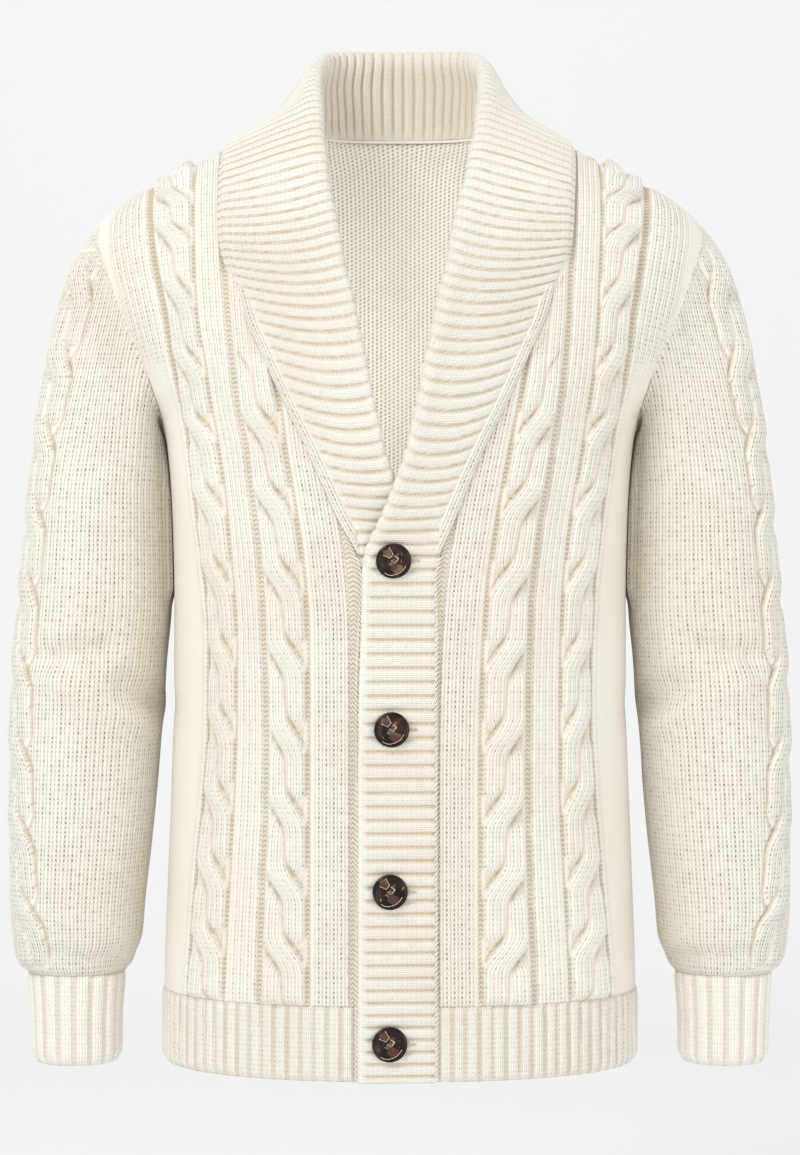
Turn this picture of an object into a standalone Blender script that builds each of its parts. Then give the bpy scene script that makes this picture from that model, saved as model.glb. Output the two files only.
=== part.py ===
"""Shawl collar cardigan: knitted panels, sleeves, ribs, collar, bands and buttons.

Metres, +Z up. The front faces -Y and the wearer's left is +X. The origin lies midway between
the two neck points, at the height of the shoulder line, where a wearer carries the garment.
"""

import math

import bmesh
import bpy
import numpy as np
from mathutils import Matrix, Vector

# Cloth and seams
PANEL_WALL = 0.0032
RIB_WALL = 0.0034
COLLAR_PLY = 0.0026
SEAM_GAP = 0.0003
SIDE_SEAM_TRIM = 0.0005
PLY_GAP = 0.0004
LAPEL_CLEARANCE = 0.0016

# Heights of the body's seams
HEM = -0.7175
RIB_TOP = -0.6635
UNDERARM = -0.233
SHOULDER_TIP = -0.0837
BACK_NECK_DROP = 0.0075
BACK_NECK_EASE = 0.080

# Roundness of the sections: 2 is an ellipse, more is squarer
BODY_POWER = 2.3
SLEEVE_POWER = 2.1

# How far the armhole seam cuts in from the side, as a share of a quarter turn
ARMHOLE_CUT = 0.28
ARMHOLE_POWER = 0.4

# How much the sleeve's cap lifts off the line of the shoulder
CAP_LIFT = 0.43

# The body's sections, hem to neck points: half width, depth before and behind the side line
BODY_COLUMNS = ("height", "half_width", "front", "back")
BODY_ROWS = (
    (-0.7175, 0.1798, 0.1280, 0.1220),
    (-0.6635, 0.1796, 0.1270, 0.1205),
    (-0.577, 0.1769, 0.1245, 0.1165),
    (-0.508, 0.1743, 0.1230, 0.1115),
    (-0.439, 0.1724, 0.1235, 0.1090),
    (-0.370, 0.1722, 0.1255, 0.1095),
    (-0.310, 0.1735, 0.1278, 0.1130),
    (-0.2545, 0.1776, 0.1276, 0.1172),
    (-0.233, 0.1822, 0.1267, 0.1183),
    (-0.2115, 0.1950, 0.1250, 0.1188),
    (-0.184, 0.2115, 0.1218, 0.1190),
    (-0.140, 0.2325, 0.1125, 0.1168),
    (-0.105, 0.2375, 0.0998, 0.1130),
    (-0.0837, 0.2286, 0.0895, 0.1095),
    (-0.0648, 0.2070, 0.0785, 0.1058),
    (-0.044, 0.1668, 0.0650, 0.1010),
    (-0.0271, 0.1345, 0.0535, 0.0960),
    (0.000, 0.0780, 0.0310, 0.0855),
)

# The front edge: the line where the fronts meet, the panel's edge and the fold of the band
# beyond the line, both as distances from it
FRONT_COLUMNS = ("height", "centre", "seam", "fold")
FRONT_ROWS = (
    (-0.7175, -0.0025, 0.0284, 0.0281),
    (-0.440, -0.0025, 0.0284, 0.0281),
    (-0.382, -0.0015, 0.0274, 0.0265),
    (-0.355, -0.0010, 0.0268, 0.0266),
    (-0.345, -0.0010, 0.0278, 0.0262),
    (-0.335, -0.0012, 0.0308, 0.0242),
    (-0.326, -0.0016, 0.0343, 0.0205),
    (-0.310, -0.0026, 0.0385, 0.0115),
    (-0.270, -0.0033, 0.0455, 0.0000),
    (-0.220, -0.0033, 0.0530, 0.0000),
    (-0.160, -0.0033, 0.0615, 0.0000),
    (-0.100, -0.0033, 0.0695, 0.0000),
    (-0.050, -0.0020, 0.0745, 0.0000),
    (0.000, 0.0000, 0.0780, 0.0000),
)

# The sleeve's sections below the cap
SLEEVE_COLUMNS = ("height", "outer", "inner", "depth", "middle_y")
SLEEVE_ROWS = (
    (-0.6567, 0.2823, 0.2088, 0.0380, -0.0170),
    (-0.651, 0.2888, 0.2040, 0.0420, -0.0166),
    (-0.643, 0.2920, 0.2008, 0.0465, -0.0160),
    (-0.628, 0.2938, 0.1965, 0.0505, -0.0148),
    (-0.600, 0.2964, 0.1945, 0.0535, -0.0120),
    (-0.554, 0.2970, 0.1896, 0.0565, -0.0080),
    (-0.508, 0.2972, 0.1854, 0.0585, -0.0040),
    (-0.462, 0.2966, 0.1821, 0.0605, -0.0008),
    (-0.416, 0.2943, 0.1789, 0.0620, 0.0010),
    (-0.3705, 0.2903, 0.1752, 0.0632, 0.0008),
    (-0.300, 0.2838, 0.1768, 0.0640, 0.0000),
)
SLEEVE_RINGS = (-0.34, -0.39, -0.44, -0.49, -0.54, -0.59, -0.62, -0.64, -0.651, -0.6567)

# The cuff's sections
CUFF_COLUMNS = ("height", "outer", "inner", "depth", "middle_y")
CUFF_ROWS = (
    (-0.7182, 0.2774, 0.2126, 0.0350, -0.0200),
    (-0.692, 0.2785, 0.2124, 0.0356, -0.0190),
    (-0.669, 0.2800, 0.2110, 0.0366, -0.0178),
    (-0.6571, 0.2815, 0.2096, 0.0376, -0.0170),
)

# The collar above the top button, to the middle of the back, one row for each rib that is a
# station: its outer edge, which is set on the front at its height, or on the shoulder or back
# from the point given; its fold, with its own depth on the wearer's right where it lies under
# the left; its seam, a height on the front panel or, from the neck point on, a turn of the
# back panel; and the inside radius of the fold.
COLLAR_COLUMNS = (
    "outer_half", "outer_y", "outer_z", "fold_half", "fold_y", "fold_y_under", "fold_z",
    "seam_z", "seam_turn", "roll",
)
COLLAR_ROWS = (
    (0.0350, 0.0, -0.3260, -0.0205, -0.1316, -0.1204, -0.3260, -0.3260, 0.0, 0.0002),
    (0.0405, 0.0, -0.3150, -0.0152, -0.1330, -0.1218, -0.3170, -0.3155, 0.0, 0.0003),
    (0.0535, 0.0, -0.2850, -0.0019, -0.1348, -0.1268, -0.2880, -0.2865, 0.0, 0.0006),
    (0.0678, 0.0, -0.2525, 0.0078, -0.1362, -0.1320, -0.2600, -0.2570, 0.0, 0.0010),
    (0.0790, 0.0, -0.2300, 0.0124, -0.1368, -0.1352, -0.2390, -0.2330, 0.0, 0.0014),
    (0.0912, 0.0, -0.2039, 0.0176, -0.1355, -0.1355, -0.2150, -0.2111, 0.0, 0.0018),
    (0.0997, 0.0, -0.1850, 0.0206, -0.1330, -0.1330, -0.1960, -0.1869, 0.0, 0.0020),
    (0.1090, 0.0, -0.1650, 0.0257, -0.1292, -0.1292, -0.1750, -0.1700, 0.0, 0.0022),
    (0.1160, 0.0, -0.1430, 0.0303, -0.1226, -0.1226, -0.1490, -0.1460, 0.0, 0.0024),
    (0.1245, 0.0, -0.1250, 0.0362, -0.1148, -0.1148, -0.1270, -0.1298, 0.0, 0.0026),
    (0.1290, 0.0, -0.1100, 0.0398, -0.1048, -0.1048, -0.1050, -0.1056, 0.0, 0.0028),
    (0.1310, 0.0, -0.0930, 0.0443, -0.0930, -0.0930, -0.0820, -0.0837, 0.0, 0.0030),
    (0.1318, 0.0, -0.0760, 0.0495, -0.0800, -0.0800, -0.0600, -0.0620, 0.0, 0.0032),
    (0.1325, 0.0, -0.0600, 0.0521, -0.0665, -0.0665, -0.0400, -0.0340, 0.0, 0.0034),
    (0.1330, 0.0, -0.0455, 0.0555, -0.0525, -0.0525, -0.0225, -0.0210, 0.0, 0.0036),
    (0.1325, -0.030, -0.0350, 0.0570, -0.0385, -0.0385, -0.0070, -0.0100, 0.0, 0.0036),
    (0.1308, -0.012, -0.0280, 0.0585, -0.0265, -0.0265, 0.0055, -0.0030, 0.0, 0.0036),
    (0.1290, 0.008, -0.0255, 0.0602, -0.0130, -0.0130, 0.0175, 0.0, 1.0005, 0.0036),
    (0.1275, 0.028, -0.0300, 0.0618, 0.0040, 0.0040, 0.0305, 0.0, 1.1670, 0.0036),
    (0.1270, 0.049, -0.0360, 0.0622, 0.0260, 0.0260, 0.0440, 0.0, 1.3333, 0.0036),
    (0.1180, 0.070, -0.0430, 0.0592, 0.0500, 0.0500, 0.0558, 0.0, 1.5000, 0.0036),
    (0.0970, 0.086, -0.0470, 0.0500, 0.0710, 0.0710, 0.0622, 0.0, 1.6667, 0.0036),
    (0.0600, 0.097, -0.0480, 0.0280, 0.0870, 0.0870, 0.0650, 0.0, 1.8333, 0.0036),
    (0.0000, 0.101, -0.0480, 0.0000, 0.0935, 0.0935, 0.0660, 0.0, 2.0000, 0.0036),
)
# The stations of the bands, below the collar, where the strip lies folded flat
BAND_LEVELS = (-0.7175, -0.63, -0.53, -0.46, -0.40, -0.362, -0.345, -0.335)
# How far outside the body's surface the facing sides of the two plies end at the seam, and how
# far the middle of the fold is, for the left (over) and the right (under)
LEVEL_COLUMNS = (
    "height", "outer_over", "inner_over", "fold_over", "outer_under", "inner_under", "fold_under",
)
LEVEL_ROWS = (
    (-0.7175, -0.0004, -0.0008, 0.0036, -0.0022, -0.0026, -0.0066),
    (-0.345, -0.0004, -0.0008, 0.0038, -0.0022, -0.0026, -0.0066),
    (-0.335, 0.0004, -0.0005, 0.0046, -0.0006, -0.0014, -0.0064),
    (-0.326, 0.0010, -0.0003, 0.0052, 0.0010, -0.0006, -0.0060),
    (-0.315, 0.0014, -0.0003, 0.0060, 0.0014, -0.0003, -0.0050),
    (0.000, 0.0014, -0.0003, 0.0060, 0.0014, -0.0003, -0.0050),
)
# Heights between which the outer ply's edge turns from straight to lying on the body
FLAT_BELOW = -0.335
LYING_ABOVE = -0.260
OUTER_PLY_STEPS = 6
INNER_PLY_STEPS = 3
FOLD_STEPS = 4

# Buttons
BUTTON_RADIUS = 0.0132
BUTTON_THICK = 0.0036
BUTTON_DISH_RADIUS = 0.0088
BUTTON_DISH_DEPTH = 0.0012
BUTTON_STEPS = 24
BUTTON_CLEARANCE = 0.0005
BUTTON_PLACES = ((-0.0047, -0.3406), (-0.0061, -0.4627), (-0.0072, -0.5799), (-0.0075, -0.6892))

# Mesh steps
PANEL_STEPS = 6
ARMHOLE_STEPS = 8
SLEEVE_STEPS = 16
CUFF_RINGS = (-0.6571, -0.669, -0.692, -0.7182)
BACK_LEVELS = (-0.6635, -0.60, -0.53, -0.46, -0.40, -0.335, -0.27)
FRONT_LEVELS = (
    -0.6635, -0.60, -0.53, -0.46, -0.40, -0.362, -0.345, -0.335, -0.326, -0.31, -0.27,
)
SHOULDER_LEVELS = (-0.074, -0.062, -0.034, -0.021, -0.010, -0.003)
SLEEVE_CAP_STEPS = (0.0, 0.12, 0.28, 0.48, 0.72, 1.0)

IVORY = (0.86, 0.82, 0.72, 1.0)
HORN = (0.055, 0.028, 0.018, 1.0)


def clear_scene():
    """Remove every object, so that only the garment is left."""
    for thing in list(bpy.data.objects):
        bpy.data.objects.remove(thing, do_unlink=True)


def column(names, rows, name):
    """One named column of a table, as an array."""
    return np.array([row[names.index(name)] for row in rows], dtype=float)


def through(places, values, at):
    """Smooth curve through a table's values that never overshoots them."""
    at = np.clip(at, places[0], places[-1])
    step = np.diff(places)
    rise = np.diff(values) / step
    slope = np.zeros_like(values)
    slope[0] = rise[0]
    slope[-1] = rise[-1]
    both = rise[:-1] * rise[1:] > 0
    heavy = 2 * step[1:] + step[:-1]
    light = step[1:] + 2 * step[:-1]
    safe_low = np.where(both, rise[:-1], 1.0)
    safe_high = np.where(both, rise[1:], 1.0)
    mean = (heavy + light) / (heavy / safe_low + light / safe_high)
    slope[1:-1] = np.where(both, mean, 0.0)
    k = np.clip(np.searchsorted(places, at, side="right") - 1, 0, len(step) - 1)
    s = (at - places[k]) / step[k]
    start = (1 + 2 * s) * (1 - s) ** 2 * values[k] + s * (1 - s) ** 2 * step[k] * slope[k]
    end = s * s * (3 - 2 * s) * values[k + 1] + s * s * (s - 1) * step[k] * slope[k + 1]
    return start + end


def body_size(name, z):
    """Half width, front depth or back depth of the body at height z."""
    places = column(BODY_COLUMNS, BODY_ROWS, "height")
    return through(places, column(BODY_COLUMNS, BODY_ROWS, name), z)


def front_line(name, z):
    """Centre line or seam distance of the front edge at height z."""
    places = column(FRONT_COLUMNS, FRONT_ROWS, "height")
    return through(places, column(FRONT_COLUMNS, FRONT_ROWS, name), z)


def signed_power(value, power):
    """Power of a magnitude that keeps its sign."""
    return np.sign(value) * np.abs(value) ** power


def body_point(turn, z, side=1):
    """Point of the body's outer surface; turn 0 is centre front, 1 the side, 2 centre back."""
    turn = np.asarray(turn, dtype=float)
    z = np.asarray(z, dtype=float)
    angle = turn * math.pi / 2
    share = 2 / BODY_POWER
    depth = np.where(turn <= 1, body_size("front", z), body_size("back", z))
    x = side * body_size("half_width", z) * signed_power(np.sin(angle), share)
    y = -depth * signed_power(np.cos(angle), share)
    return np.stack([x, y, z + 0 * x], axis=-1)


def body_normal(turn, z, side=1):
    """Outward unit normal of the body's outer surface."""
    turn = np.clip(turn, 0.002, 1.998)
    across = body_point(turn + 0.001, z, side) - body_point(turn - 0.001, z, side)
    up = body_point(turn, z + 0.0003, side) - body_point(turn, z - 0.0003, side)
    normal = side * np.cross(across, up)
    return normal / np.linalg.norm(normal, axis=-1, keepdims=True)


def turn_at(x, z):
    """Turn at which the front of the body is x away from the middle."""
    ratio = np.clip(x / body_size("half_width", z), 0.0, 1.0)
    return np.arcsin(ratio ** (BODY_POWER / 2)) * 2 / math.pi


def armhole_turn(z):
    """Turn of the armhole seam at height z, 1 below the underarm and above the shoulder."""
    middle = (UNDERARM + SHOULDER_TIP) / 2
    half = (SHOULDER_TIP - UNDERARM) / 2
    share = np.clip(1 - ((z - middle) / half) ** 2, 0.0, 1.0)
    return 1 - ARMHOLE_CUT * share ** ARMHOLE_POWER


def armhole_height(angle):
    """Height of the armhole seam, angle 0 at the shoulder tip and pi under the arm."""
    middle = (UNDERARM + SHOULDER_TIP) / 2
    half = (SHOULDER_TIP - UNDERARM) / 2
    return middle + half * math.cos(angle)


def unit(vector):
    """Vector of length 1."""
    return vector / np.linalg.norm(vector)


def body_roundness(point):
    """Superellipse function of the body: 0 on its surface, less inside."""
    depth = body_size("front" if point[1] < 0 else "back", point[2])
    wide = (abs(point[0]) / body_size("half_width", point[2])) ** BODY_POWER
    deep = (abs(point[1]) / depth) ** BODY_POWER
    return (wide + deep) ** (1 / BODY_POWER) - 1


def body_distance(point):
    """Distance of a point outside the body's surface, and the way out."""
    small = 0.0002
    steps = np.eye(3) * small
    slope = [body_roundness(point + s) - body_roundness(point - s) for s in steps]
    slope = np.array(slope) / (2 * small)
    length = np.linalg.norm(slope)
    return body_roundness(point) / length, slope / length


def on_body(point, level):
    """Set a point at a level outside the body's surface, and give the way out there."""
    for _ in range(8):
        distance, out = body_distance(point)
        point = point + out * (level - distance)
    return point, out


def clear_of_body(point, gap):
    """Move a point out until it is at least gap outside the body's surface."""
    for _ in range(4):
        if point[2] > -0.0005:
            return point
        distance, out = body_distance(point)
        if distance >= gap:
            return point
        point = point + out * (gap - distance)
    return point


def material(name, colour, roughness):
    """Principled material of one sub-part."""
    made = bpy.data.materials.new(name)
    made.use_nodes = True
    shader = made.node_tree.nodes["Principled BSDF"]
    shader.inputs["Base Color"].default_value = colour
    shader.inputs["Roughness"].default_value = roughness
    shader.inputs["Metallic"].default_value = 0.0
    return made


def add_object(name, mesh, collection, colour=IVORY, roughness=0.9):
    """Put a mesh in the collection as a named object with its own material."""
    thing = bpy.data.objects.new(name, mesh)
    collection.objects.link(thing)
    mesh.materials.append(material(name + "_finish", colour, roughness))
    return thing


def grid_faces(mesh, grid, closed, flip=False):
    """Vertices and faces over a grid of points [row][column], columns joined if closed."""
    columns = len(grid[0])
    points = [[mesh.verts.new(Vector(p)) for p in row] for row in grid]
    for low, high in zip(points, points[1:]):
        for c in range(columns if closed else columns - 1):
            d = (c + 1) % columns
            face = (low[c], low[d], high[d], high[c])
            mesh.faces.new(face[::-1] if flip else face)
    return points


def add_shell(name, outer, inner, collection, closed=False):
    """A named piece of cloth between its outer and its inner grid of points."""
    mesh = bmesh.new()
    front = grid_faces(mesh, outer, closed)
    back = grid_faces(mesh, inner, closed, flip=True)
    columns = len(outer[0])
    for c in range(columns if closed else columns - 1):
        d = (c + 1) % columns
        mesh.faces.new((front[0][d], front[0][c], back[0][c], back[0][d]))
        mesh.faces.new((front[-1][c], front[-1][d], back[-1][d], back[-1][c]))
    if not closed:
        for r in range(len(outer) - 1):
            mesh.faces.new((front[r][0], front[r + 1][0], back[r + 1][0], back[r][0]))
            mesh.faces.new((front[r + 1][-1], front[r][-1], back[r][-1], back[r + 1][-1]))
    data = bpy.data.meshes.new(name)
    mesh.to_mesh(data)
    mesh.free()
    return add_object(name, data, collection)


def armhole_levels():
    """Heights of the rows that end at the armhole, from the underarm up."""
    angles = [math.pi * (1 - k / ARMHOLE_STEPS) for k in range(ARMHOLE_STEPS + 1)]
    return [armhole_height(angle) for angle in angles]


def panel_pair(rows, side, wall):
    """Outer and inner grid of a panel, from rows of its turns and heights."""
    outer = [[body_point(turn, z, side) for turn, z in row] for row in rows]
    inner = []
    for row, points in zip(rows, outer):
        inner.append([p - body_normal(t, z, side) * wall for p, (t, z) in zip(points, row)])
    return outer, inner


def row_turns(start, z):
    """Turns of a panel's row; only its outer half gives way to the armhole."""
    middle = (start + 1) / 2
    end = armhole_turn(z) - SIDE_SEAM_TRIM
    half = PANEL_STEPS // 2
    inner = [start + (middle - start) * k / half for k in range(half)]
    return inner + [middle + (end - middle) * k / half for k in range(half + 1)]


def front_row(z, side):
    """Turns of a front panel's row, from its inner edge to the side seam or armhole."""
    x = side * front_line("centre", z) + front_line("seam", z) + SEAM_GAP
    row = [(turn, z) for turn in row_turns(turn_at(x, z), z)]
    return row if side > 0 else row[::-1]


def back_height(turn, z):
    """Height of a back panel's row, which dips towards the middle of the back neck."""
    ease = np.clip(1 + z / BACK_NECK_EASE, 0.0, 1.0) ** 2
    middle = math.sin(math.pi / 2 * np.clip(turn - 1, 0.0, 1.0))
    return z - BACK_NECK_DROP * middle * ease


def back_row(z):
    """Turns and heights of half a row of the back panel, from its side to the middle."""
    return [(2 - turn, back_height(2 - turn, z)) for turn in row_turns(0.0, z)[::-1]]


def add_back(name, levels, collection, wall):
    """A piece that spans the whole back, from the wearer's left to right."""
    rows = [back_row(z) for z in levels]
    left = panel_pair(rows, 1, wall)
    right = panel_pair(rows, -1, wall)
    outer, inner = (
        [a + b[-2::-1] for a, b in zip(left_rows, right_rows)]
        for left_rows, right_rows in zip(left, right)
    )
    add_shell(name, outer, inner, collection)


def build_body_panels(collection):
    """Back, two fronts and the rib along the lower edge of each."""
    upper = armhole_levels() + list(SHOULDER_LEVELS)
    add_back("back", list(BACK_LEVELS) + upper[:-1] + [0.0], collection, PANEL_WALL)
    rib_levels = (HEM, (HEM + RIB_TOP) / 2, RIB_TOP - SEAM_GAP)
    add_back("hem_rib_back", rib_levels, collection, RIB_WALL)
    for side, name in ((1, "left"), (-1, "right")):
        rows = [front_row(z, side) for z in list(FRONT_LEVELS) + upper]
        add_shell("front_" + name, *panel_pair(rows, side, PANEL_WALL), collection)
        rows = [front_row(z, side) for z in rib_levels]
        add_shell("hem_rib_" + name, *panel_pair(rows, side, RIB_WALL), collection)


def tube_point(columns, rows, angle, z, side, wall=0.0):
    """Point of a sleeve or cuff section; angle 0 is the outer side, a quarter turn the front."""
    places = column(columns, rows, "height")
    outer = through(places, column(columns, rows, "outer"), z) - wall
    inner = through(places, column(columns, rows, "inner"), z) + wall
    depth = through(places, column(columns, rows, "depth"), z) - wall
    middle_y = through(places, column(columns, rows, "middle_y"), z)
    share = 2 / SLEEVE_POWER
    x = (outer + inner) / 2 + (outer - inner) / 2 * signed_power(math.cos(angle), share)
    y = middle_y - depth * signed_power(math.sin(angle), share)
    return np.array([side * x, y, z])


def armhole_point(angle, side=1):
    """Point of the armhole seam on the body's surface."""
    z = armhole_height(angle)
    turn = float(armhole_turn(z))
    return body_point(turn if math.sin(angle) >= 0 else 2 - turn, z, side)


def under_share(angle):
    """0 round the front, top and back of the armhole, 1 under the arm."""
    share = np.clip((abs(math.remainder(angle, 2 * math.pi)) - 1.7) / 0.9, 0.0, 1.0)
    return share * share * (3 - 2 * share)


def armhole_normal(angle):
    """Way out of the body at the armhole seam, on the wearer's left."""
    z = armhole_height(angle)
    turn = float(armhole_turn(z))
    return body_normal(turn if math.sin(angle) >= 0 else 2 - turn, z)


def armhole_way(angle):
    """Direction in which the sleeve leaves the armhole, on the wearer's left."""
    along = armhole_point(angle + 0.02) - armhole_point(angle - 0.02)
    way = unit(np.cross(along, armhole_normal(angle)))
    way = way * np.sign(way[0] - way[2])
    under = under_share(angle)
    fold = np.array([0.35 + 0.65 * under, -0.3 * math.sin(angle), -0.6 * (1 - under)])
    return unit(way * (1 - under) + unit(fold) * under)


def cap_point(angle, share):
    """Point of the left sleeve between the armhole seam, share 0, and its top ring, share 1."""
    top_ring = SLEEVE_ROWS[-1][0]
    start = armhole_point(angle) + armhole_way(angle) * SEAM_GAP * 2
    end = tube_point(SLEEVE_COLUMNS, SLEEVE_ROWS, angle, top_ring, 1)
    span = np.linalg.norm(end - start)
    under = (1 - math.cos(angle)) / 2
    leave = unit(armhole_way(angle) + np.array([CAP_LIFT * (1 - under) ** 2, 0.0, 0.0]))
    leave = leave * span * (0.73 - 0.48 * under)
    below = tube_point(SLEEVE_COLUMNS, SLEEVE_ROWS, angle, top_ring - 0.01, 1)
    arrive = unit(below - end) * span * 0.9
    s = share
    point = (1 + 2 * s) * (1 - s) ** 2 * start + s * (1 - s) ** 2 * leave
    return point + s * s * (3 - 2 * s) * end + s * s * (s - 1) * arrive


def cap_normal(angle, share):
    """Way out of the left sleeve's cap; at the seam it is the body's, to match the panels."""
    round_it = cap_point(angle + 0.01, share) - cap_point(angle - 0.01, share)
    down_it = cap_point(angle, share + 0.01) - cap_point(angle, share)
    own = unit(np.cross(round_it, down_it))
    if share > 0:
        return own
    under = under_share(angle)
    return unit(armhole_normal(angle) * (1 - under) + own * under)


def tube_angles(side):
    """Angles round a sleeve, in the order that turns its faces outward."""
    angles = [2 * math.pi * k / SLEEVE_STEPS for k in range(SLEEVE_STEPS)]
    return angles if side > 0 else angles[::-1]


def tube_pair(columns, rows, levels, side, wall):
    """Outer and inner grid of a tube's part with level sections."""
    angles = tube_angles(side)
    outer = [[tube_point(columns, rows, a, z, side) for a in angles] for z in levels]
    inner = [[tube_point(columns, rows, a, z, side, wall) for a in angles] for z in levels]
    return outer, inner


def build_sleeves(collection):
    """Two sleeves, each from armhole to wrist, and their cuffs."""
    for side, name in ((1, "left"), (-1, "right")):
        mirror = np.array([side, 1, 1])
        angles = tube_angles(side)
        cap = [[cap_point(a, s) * mirror for a in angles] for s in SLEEVE_CAP_STEPS[:-1]]
        lining = []
        for row, s in zip(cap, SLEEVE_CAP_STEPS):
            walls = [cap_normal(a, s) * mirror * PANEL_WALL for a in angles]
            lining.append([p - w for p, w in zip(row, walls)])
        levels = (SLEEVE_ROWS[-1][0],) + SLEEVE_RINGS
        outer, inner = tube_pair(SLEEVE_COLUMNS, SLEEVE_ROWS, levels, side, PANEL_WALL)
        add_shell("sleeve_" + name, cap + outer, lining + inner, collection, closed=True)
        outer, inner = tube_pair(CUFF_COLUMNS, CUFF_ROWS, CUFF_RINGS, side, RIB_WALL)
        add_shell("cuff_" + name, outer, inner, collection, closed=True)


def bezier(a, b, c, d, s):
    """Point of a cubic curve."""
    r = 1 - s
    return r ** 3 * a + 3 * r * r * s * b + 3 * r * s * s * c + s ** 3 * d


def band_row(z):
    """The collar's table row for a station of the bands."""
    row = dict.fromkeys(COLLAR_COLUMNS, 0.0)
    row["outer_half"] = front_line("seam", z) - SEAM_GAP
    row["fold_half"] = -front_line("fold", z)
    for side, name in ((1, "fold_y"), (-1, "fold_y_under")):
        x = abs(side * front_line("centre", z) + row["fold_half"])
        turn = float(turn_at(x, z))
        level = ply_level("fold", z, side)
        row[name] = float((body_point(turn, z) + body_normal(turn, z) * level)[1])
    row["outer_z"] = row["fold_z"] = row["seam_z"] = z
    row["roll"] = PLY_GAP / 2
    return row


def ply_level(place, z, side):
    """Level of a place of the strip over the body's surface, left over right."""
    places = column(LEVEL_COLUMNS, LEVEL_ROWS, "height")
    name = place + ("_over" if side > 0 else "_under")
    return float(through(places, column(LEVEL_COLUMNS, LEVEL_ROWS, name), z))


def collar_seam(row, side):
    """End of the inner ply at the seam, and the way out of the body there."""
    if row["seam_turn"]:
        turn = row["seam_turn"]
        z = float(back_height(turn, 0.0)) + SEAM_GAP
        return body_point(turn, z, side), body_normal(turn, z, side)
    z = row["seam_z"]
    x = side * front_line("centre", z) + front_line("seam", z) - SEAM_GAP
    turn = float(turn_at(x, z))
    out = body_normal(turn, z, side)
    return body_point(turn, z, side) + out * ply_level("inner", z, side), out


def clear_of_ply(point, ply, out):
    """Move a point of the outer ply out until it clears the inner ply below it."""
    along = unit(ply[0] - ply[-1])
    places = np.array([np.dot(p - ply[-1], along) for p in ply[::-1]])
    heights = np.array([np.dot(p - ply[-1], out) for p in ply[::-1]])
    place = np.dot(point - ply[-1], along)
    if place < 0 or place > places[-1]:
        return point
    short = np.interp(place, places, heights) + PLY_GAP - np.dot(point - ply[-1], out)
    return point + out * max(short, 0.0)


def over_panel(z):
    """Distance from the centre line at which the outer ply is over the front panel."""
    return front_line("seam", z) - LAPEL_CLEARANCE


def collar_section(row, side):
    """Points of one collar section, on the inside of the fold, from outer edge to seam."""
    level = ply_level("outer", row["outer_z"], side)
    x = side * front_line("centre", row["outer_z"]) + row["outer_half"]
    if row["outer_y"]:
        outer, normal = on_body(np.array([side * x, row["outer_y"], row["outer_z"]]), level)
    else:
        turn = float(turn_at(x, row["outer_z"]))
        normal = body_normal(turn, row["outer_z"], side)
        outer = body_point(turn, row["outer_z"], side) + normal * level
    seam, out = collar_seam(row, side)
    fold_y = row["fold_y"] if side > 0 else row["fold_y_under"]
    fold_x = front_line("centre", row["fold_z"]) + side * row["fold_half"]
    fold = np.array([fold_x, fold_y, row["fold_z"]])
    tip = unit(fold - (outer + seam) / 2)
    out = unit(out - tip * np.dot(out, tip))
    centre = fold - tip * (row["roll"] + COLLAR_PLY)
    bend_start = centre + out * row["roll"]
    bend_end = centre - out * row["roll"]
    reach = np.linalg.norm(bend_end - seam) / 3
    rise = unit(bend_end - seam)
    inner = []
    for k in range(1, INNER_PLY_STEPS + 1):
        s = k / INNER_PLY_STEPS
        inner.append(bezier(bend_end, bend_end - tip * reach, seam + rise * reach, seam, s))
    reach = np.linalg.norm(bend_start - outer) / 3
    crown = reach * (1.0 + 0.5 * np.clip(row["fold_z"] / 0.04, 0.0, 1.0))
    straight = unit(bend_start - outer)
    lying = unit(straight - normal * np.dot(straight, normal))
    share = np.clip((row["outer_z"] - FLAT_BELOW) / (LYING_ABOVE - FLAT_BELOW), 0.0, 1.0)
    leave = unit(straight * (1 - share) + lying * share)
    points = []
    for k in range(OUTER_PLY_STEPS):
        s = k / OUTER_PLY_STEPS
        p = bezier(outer, outer + leave * reach, bend_start - tip * crown, bend_start, s)
        if p[1] > 0 or side * (p[0] - front_line("centre", p[2])) > over_panel(p[2]):
            p = clear_of_body(p, min(level, LAPEL_CLEARANCE))
        points.append(clear_of_ply(p, [bend_end] + inner, out))
    for k in range(FOLD_STEPS + 1):
        angle = math.pi * k / FOLD_STEPS
        points.append(centre + row["roll"] * (out * math.cos(angle) + tip * math.sin(angle)))
    return points + inner


def build_collar(collection):
    """Folded rib strip: one band, the turned-over shawl collar and the other band."""
    rows = [band_row(z) for z in BAND_LEVELS]
    rows += [dict(zip(COLLAR_COLUMNS, values)) for values in COLLAR_ROWS]
    stations = [(row, 1) for row in rows] + [(row, -1) for row in rows[-2::-1]]
    facing = np.array([collar_section(row, side) for row, side in stations])
    across = np.gradient(facing, axis=1)
    along = np.gradient(facing, axis=0)
    walls = np.cross(across, along)
    walls = walls / np.linalg.norm(walls, axis=2, keepdims=True)
    for wall, (row, side) in zip(walls, stations):
        wall[-1] = collar_seam(row, side)[1]
    add_shell("shawl_collar", facing, facing - walls * COLLAR_PLY, collection)


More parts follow.
